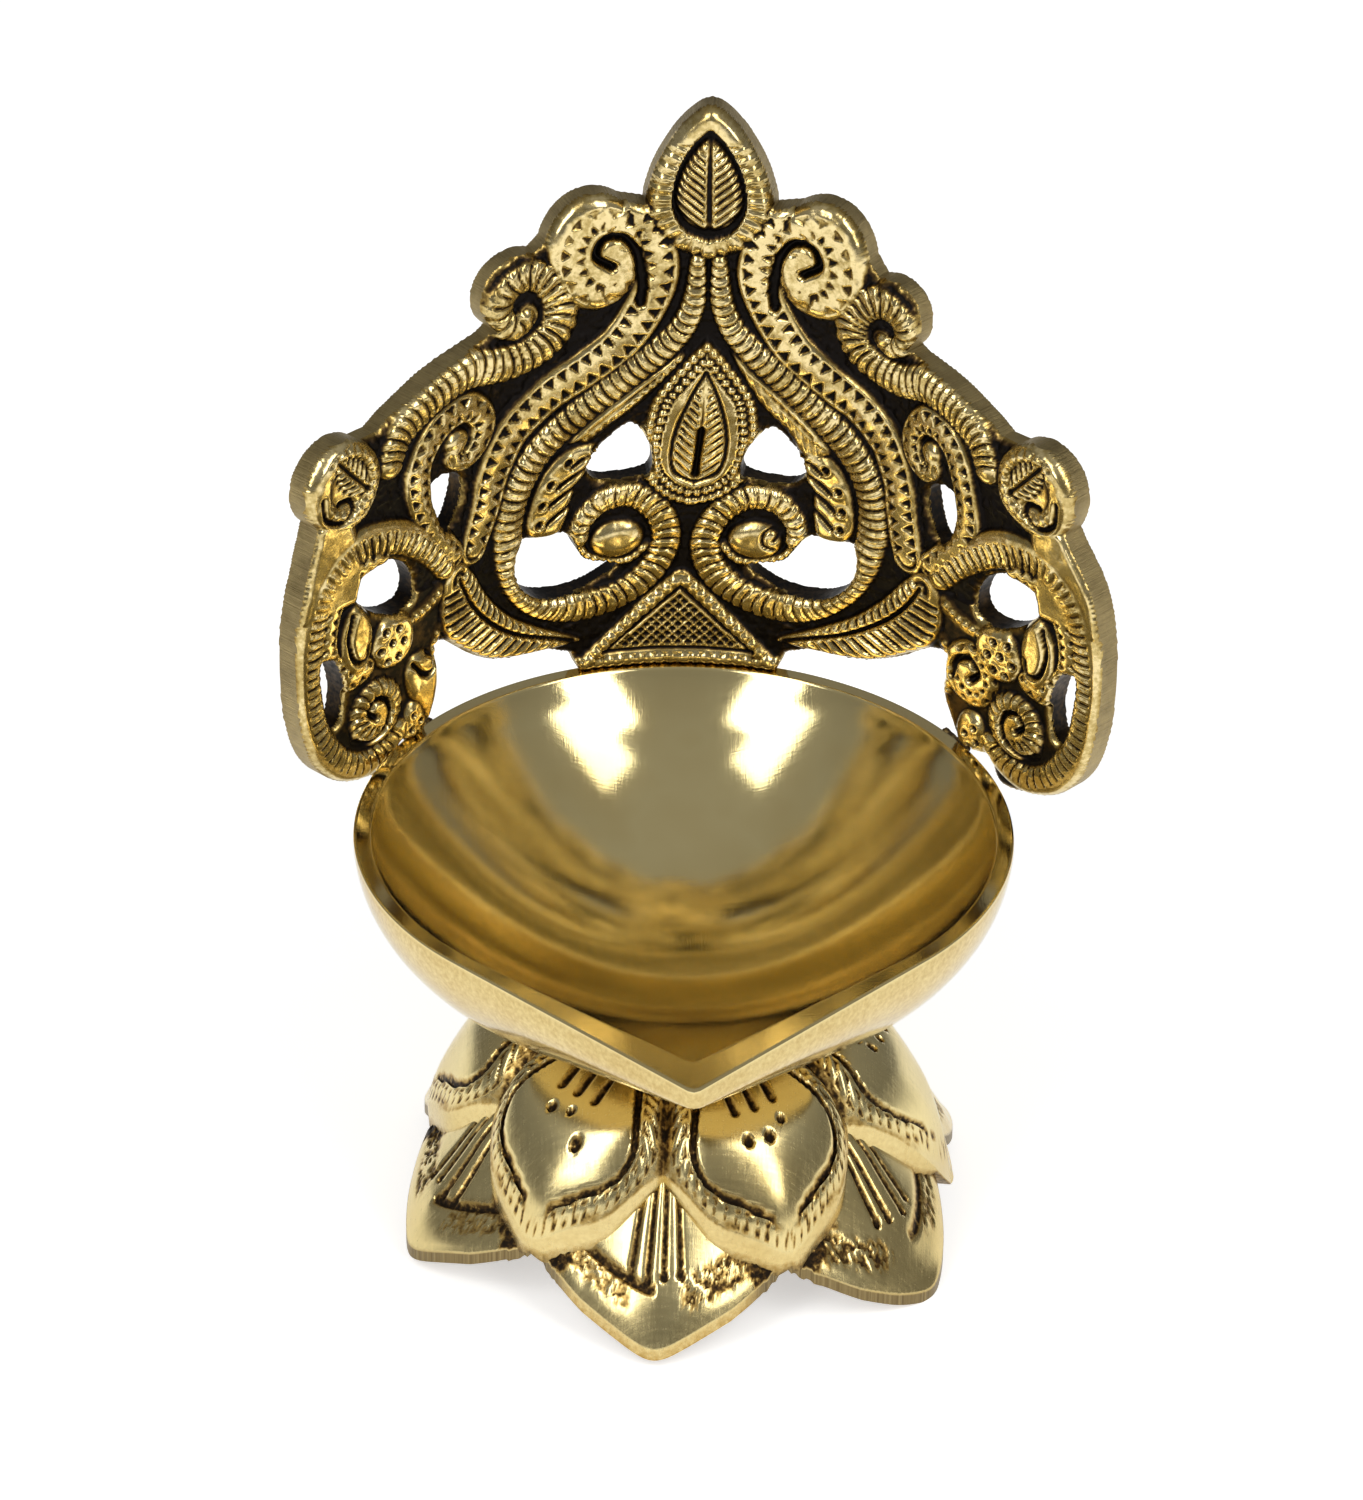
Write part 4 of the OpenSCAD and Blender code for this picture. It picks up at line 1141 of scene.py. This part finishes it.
def bowl_rings(angle, levels):
    """Radius, height and patina from the middle of the hollow, over the rim and down to the stud's hole."""
    rounding, depth = 0.35, BOWL_DEPTH - BOWL_FLOOR
    r, reach, channel_z, power = BOWL_R - BOWL_WALL, LIP_REACH - LIP_METAL, RIM_Z - CHANNEL_H, 1.12
    for s in np.radians(np.linspace(88, 0, levels)):
        z = RIM_Z - rounding - (depth - rounding) * math.sin(s)
        edge = lipped_radius(angle, z, r, depth, reach, channel_z, power)
        yield edge, z, 0.0
    outer = lipped_radius(angle, RIM_Z - 1e-3, BOWL_R, BOWL_DEPTH, LIP_REACH, RIM_Z - LIP_H)
    yield edge + 0.22, RIM_Z - 0.06, 0.0
    yield edge + 0.34, RIM_Z, 0.0
    for share in (0.08, 0.5, 0.92):
        yield edge + 0.34 + (outer - 0.35 - edge - 0.34) * share, RIM_Z, 0.05
    yield outer - 0.3, RIM_Z, 0.03
    yield outer - 0.08, RIM_Z - 0.1, 0.0
    for s in np.radians(np.linspace(1.2, 76.5, levels)):
        z = RIM_Z - BOWL_DEPTH * math.sin(s)
        yield lipped_radius(angle, z, BOWL_R, BOWL_DEPTH, LIP_REACH, RIM_Z - LIP_H), z, 0.17
    hole = STUD_R + 0.02
    for r, rise, patina in ((FOOT_RING_R + 0.05, 0.66, 0.6), (FOOT_RING_R, 0.2, 0.3),
                            (FOOT_RING_R - 0.2, 0, 0.2), (hole, 0, 0.4), (hole, 1.5, 0.6)):
        yield r, BOWL_BOTTOM_Z + rise, patina


def bowl_casting():
    around, levels = ((480, 72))
    angle = np.linspace(-math.pi / 2, 1.5 * math.pi, around, endpoint=False)
    rows = list(bowl_rings(angle, levels))
    points = np.concatenate([polar(r, angle, z) for r, z, _ in rows])
    centres = [[0, 0, points[0, 2] - 0.01], [0, 0, points[-1, 2]]]
    patina = np.r_[np.repeat([shade for _, _, shade in rows], around), 0, 0.6]
    new_piece("bowl_casting", np.vstack([points, centres]), ring_faces(len(rows), around), bowl_metal, "bowl",
              "polished_brass", ["oil_bowl"], tris=end_caps(len(points), around), patina=patina, sharp=32)


bowl_casting()


# ---- screw joint ----

def thread_depth(z, angle):
    """How far into a thread a point is, from 0 on its crest to 1 at its root."""
    _, place = broken(z / THREAD_PITCH - angle / (2 * math.pi))
    return smooth(0.12, 0.88, np.abs(place) * 2)


def threaded_stud():
    around, depth = 48, 0.72
    angle = turn_of(around)
    z = np.arange(STUD_Z[0], STUD_Z[1], 0.12)[:, None]
    taper = 0.6 * (1 - smooth(STUD_Z[0], STUD_Z[0] + 0.7, z))
    plain = smooth(WASHER_Z[1] - 0.4, WASHER_Z[1] + 0.3, z)
    rings = polar(STUD_R - taper - depth * thread_depth(z, angle) * (1 - plain), angle, z)
    points = np.vstack([rings.reshape(-1, 3), [[0, 0, STUD_Z[0]], [0, 0, z[-1, 0]]]])
    new_piece("stud_with_thread", points, ring_faces(len(z), around), turned_metal, "bowl", "turned_brass",
              ["threaded_stud"], tris=end_caps(len(z) * around, around, inward=False), sharp=40)


def turned_ring(name, profile, around, body, node):
    """A ring whose section goes round through pairs of radius and height."""
    rings = np.concatenate([polar(r, turn_of(around), z) for r, z in profile])
    new_piece(name, rings, ring_faces(len(profile), around, loop=True), turned_metal, body, "turned_brass",
              [node], sharp=30)


def threaded_nut():
    around = 72
    angle = turn_of(around)
    hexagon = NUT_FLAT / np.cos(np.mod(angle, math.pi / 3) - math.pi / 6)
    bore, chamfer = STUD_R + 0.05, NUT_FLAT * 0.985
    low, high = NUT_Z
    profile = [(chamfer, low)]
    profile += [(np.minimum(hexagon, chamfer + rise * 1.6), low + rise) for rise in (0.12, 0.3, 0.5)]
    profile += [(hexagon, low + 0.9), (hexagon, high), (bore, high)]
    for z in np.arange(high - 0.2, low + 0.1, -0.15):
        profile.append((bore + 0.08 * (1 - thread_depth(z, angle)), z))
    profile += [(bore + 0.35, low)]
    turned_ring("hex_nut", profile, around, "foot", "captive_nut")


def washer():
    low, high = WASHER_Z
    hole, bevel = STUD_HOLE_R, 0.15
    profile = [(hole + bevel, low), (WASHER_R - bevel, low), (WASHER_R, low + bevel),
               (WASHER_R, high - bevel), (WASHER_R - bevel, high), (hole + bevel, high),
               (hole, high - bevel), (hole, low + bevel)]
    turned_ring("seat_ring", profile, 96, "washer", "seat_washer")


def braze_bead(name, line, radius, body, node, seed, closed=False):
    """A lumpy bead of brazing metal along a line."""
    source = np.random.default_rng(seed)
    n, around = len(line), 12
    ahead = np.roll(line, -1, 0) - np.roll(line, 1, 0) if closed else np.gradient(line, axis=0)
    ahead /= np.linalg.norm(ahead, axis=1)[:, None]
    up = np.array([0.0, 0.0, 1.0])
    side = np.cross(ahead, up)
    size = radius * (1 + 0.25 * np.convolve(source.uniform(-1, 1, n + 4), np.ones(5) / 2.2, "valid"))
    if not closed:
        size = size * np.clip(np.sin(np.linspace(0.12, math.pi - 0.12, n)) * 3, 0.2, 1)
    turn = turn_of(around)
    rough = size[:, None] * (1 + 0.12 * source.uniform(-1, 1, (n, around)))
    rings = (line[:, None] + (rough * np.cos(turn))[..., None] * side[:, None]
             + (rough * np.sin(turn))[..., None] * up)
    points, tris = rings.reshape(-1, 3), []
    if not closed:
        points = np.vstack([points, line[:1], line[-1:]])
        tris = end_caps(n * around, around)
    new_piece(name, points, ring_faces(n, around, loop=closed), seam_metal, body, "braze", [node], tris=tris)


threaded_stud()
threaded_nut()
washer()
nut_seam = polar(7.1, np.linspace(0, 2 * math.pi, 72, endpoint=False), NUT_Z[1] - 0.62)
braze_bead("nut_braze_bead", nut_seam, 0.55, "foot", "nut_braze", 5, closed=True)
# where each seam of the crest is on the rim: its middle and width in degrees, clockwise from the back
for seam, middle, width, count, seed in (("crest", 0, 30, 60, 6), ("right_ear", 58.5, 8, 20, 8),
                                         ("left_ear", -54, 8, 20, 9)):
    rim_angle = np.radians(90 - np.linspace(middle - width / 2, middle + width / 2, count))
    braze_bead(seam + "_braze_bead", polar(BOWL_R + 0.35, rim_angle, RIM_Z - 0.45), SEAM_R, "bowl",
               seam + "_braze", seed)


# ---- studio ----

def flat_material(name, colour, roughness, glow=0.0):
    s = Shader(name, metallic=0.0, Roughness=roughness)
    s.surface.inputs["Emission Color"].default_value = (1, 1, 1, 1)
    s.surface.inputs["Emission Strength"].default_value = glow
    speckle = s.noise(s.place(), 60, 3)
    return s.finish(s.ramp(speckle, (0.3, tuple(0.985 * c for c in colour)), (0.7, colour)))


def floor():
    """A pale sheet just under the petal tips."""
    size, drop = 4.0, 0.00005
    mesh = bpy.data.meshes.new("floor")
    sheet = [(x * size, y * size, -drop) for x, y in ((-1, -1), (1, -1), (1, 1), (-1, 1))]
    mesh.from_pydata(sheet, [], [(0, 1, 2, 3)])
    mesh.materials.append(flat_material("paper", (0.93, 0.93, 0.92), 0.7, glow=0.52))
    plane = bpy.data.objects.new("floor", mesh)
    bpy.context.scene.collection.objects.link(plane)


def softbox(name, place, size, power):
    """A rectangular lamp that faces the middle of the object; places are in metres."""
    light = bpy.data.lights.new(name, "AREA")
    light.shape = "RECTANGLE"
    light.size, light.size_y = size
    light.energy = power
    lamp = bpy.data.objects.new(name, light)
    direction = Vector((0, 0, 0.06)) - Vector(place)
    lamp.rotation_euler = direction.to_track_quat("-Z", "Y").to_euler()
    lamp.location = place
    bpy.context.scene.collection.objects.link(lamp)


def studio():
    """Two pairs of softboxes, in a room that is brighter overhead than at the horizon."""
    world = bpy.data.worlds.new("studio")
    world.use_nodes = True
    tree = world.node_tree
    sky = tree.nodes.new("ShaderNodeTexCoord")
    split = tree.nodes.new("ShaderNodeSeparateXYZ")
    level = tree.nodes.new("ShaderNodeMapRange")
    tree.links.new(sky.outputs["Generated"], split.inputs[0])
    tree.links.new(split.outputs["Z"], level.inputs["Value"])
    for socket, value in zip(list(level.inputs)[1:5], (0.0, 1.0, 0.16, 0.38)):
        socket.default_value = value
    tree.nodes["Background"].inputs["Color"].default_value = (1, 1, 1, 1)
    tree.links.new(level.outputs[0], tree.nodes["Background"].inputs["Strength"])
    bpy.context.scene.world = world
    bpy.context.scene.view_settings.view_transform = "Standard"
    for hand, x in (("left", -1), ("right", 1)):
        softbox("tall_" + hand, (x * 0.62, -0.78, 0.80), (0.34, 1.0), 5.5)
        softbox("high_" + hand, (x * 0.52, -0.40, 1.03), (0.26, 0.46), 1.3)


def camera():
    """The photograph's viewpoint: 697 mm from the middle of the rim, looking down 32 degrees."""
    place = np.array([-16.84, -586.75, 429.93]) * MM
    pitch, yaw, roll = 0.556, 0.028, 0.014
    ahead = np.array([math.sin(yaw) * math.cos(pitch), math.cos(yaw) * math.cos(pitch), -math.sin(pitch)])
    right = np.array([math.cos(yaw), -math.sin(yaw), 0])
    up = np.cross(right, ahead)
    right, up = math.cos(roll) * right + math.sin(roll) * up, math.cos(roll) * up - math.sin(roll) * right
    data = bpy.data.cameras.new("camera")
    data.sensor_fit = "HORIZONTAL"
    data.sensor_width = 36
    data.lens = 152.1
    data.clip_start = 0.01
    view = bpy.data.objects.new("camera", data)
    view.matrix_world = Matrix.Translation(place) @ Matrix((right, up, -ahead)).transposed().to_4x4()
    bpy.context.scene.collection.objects.link(view)
    bpy.context.scene.camera = view


floor()
studio()
camera()
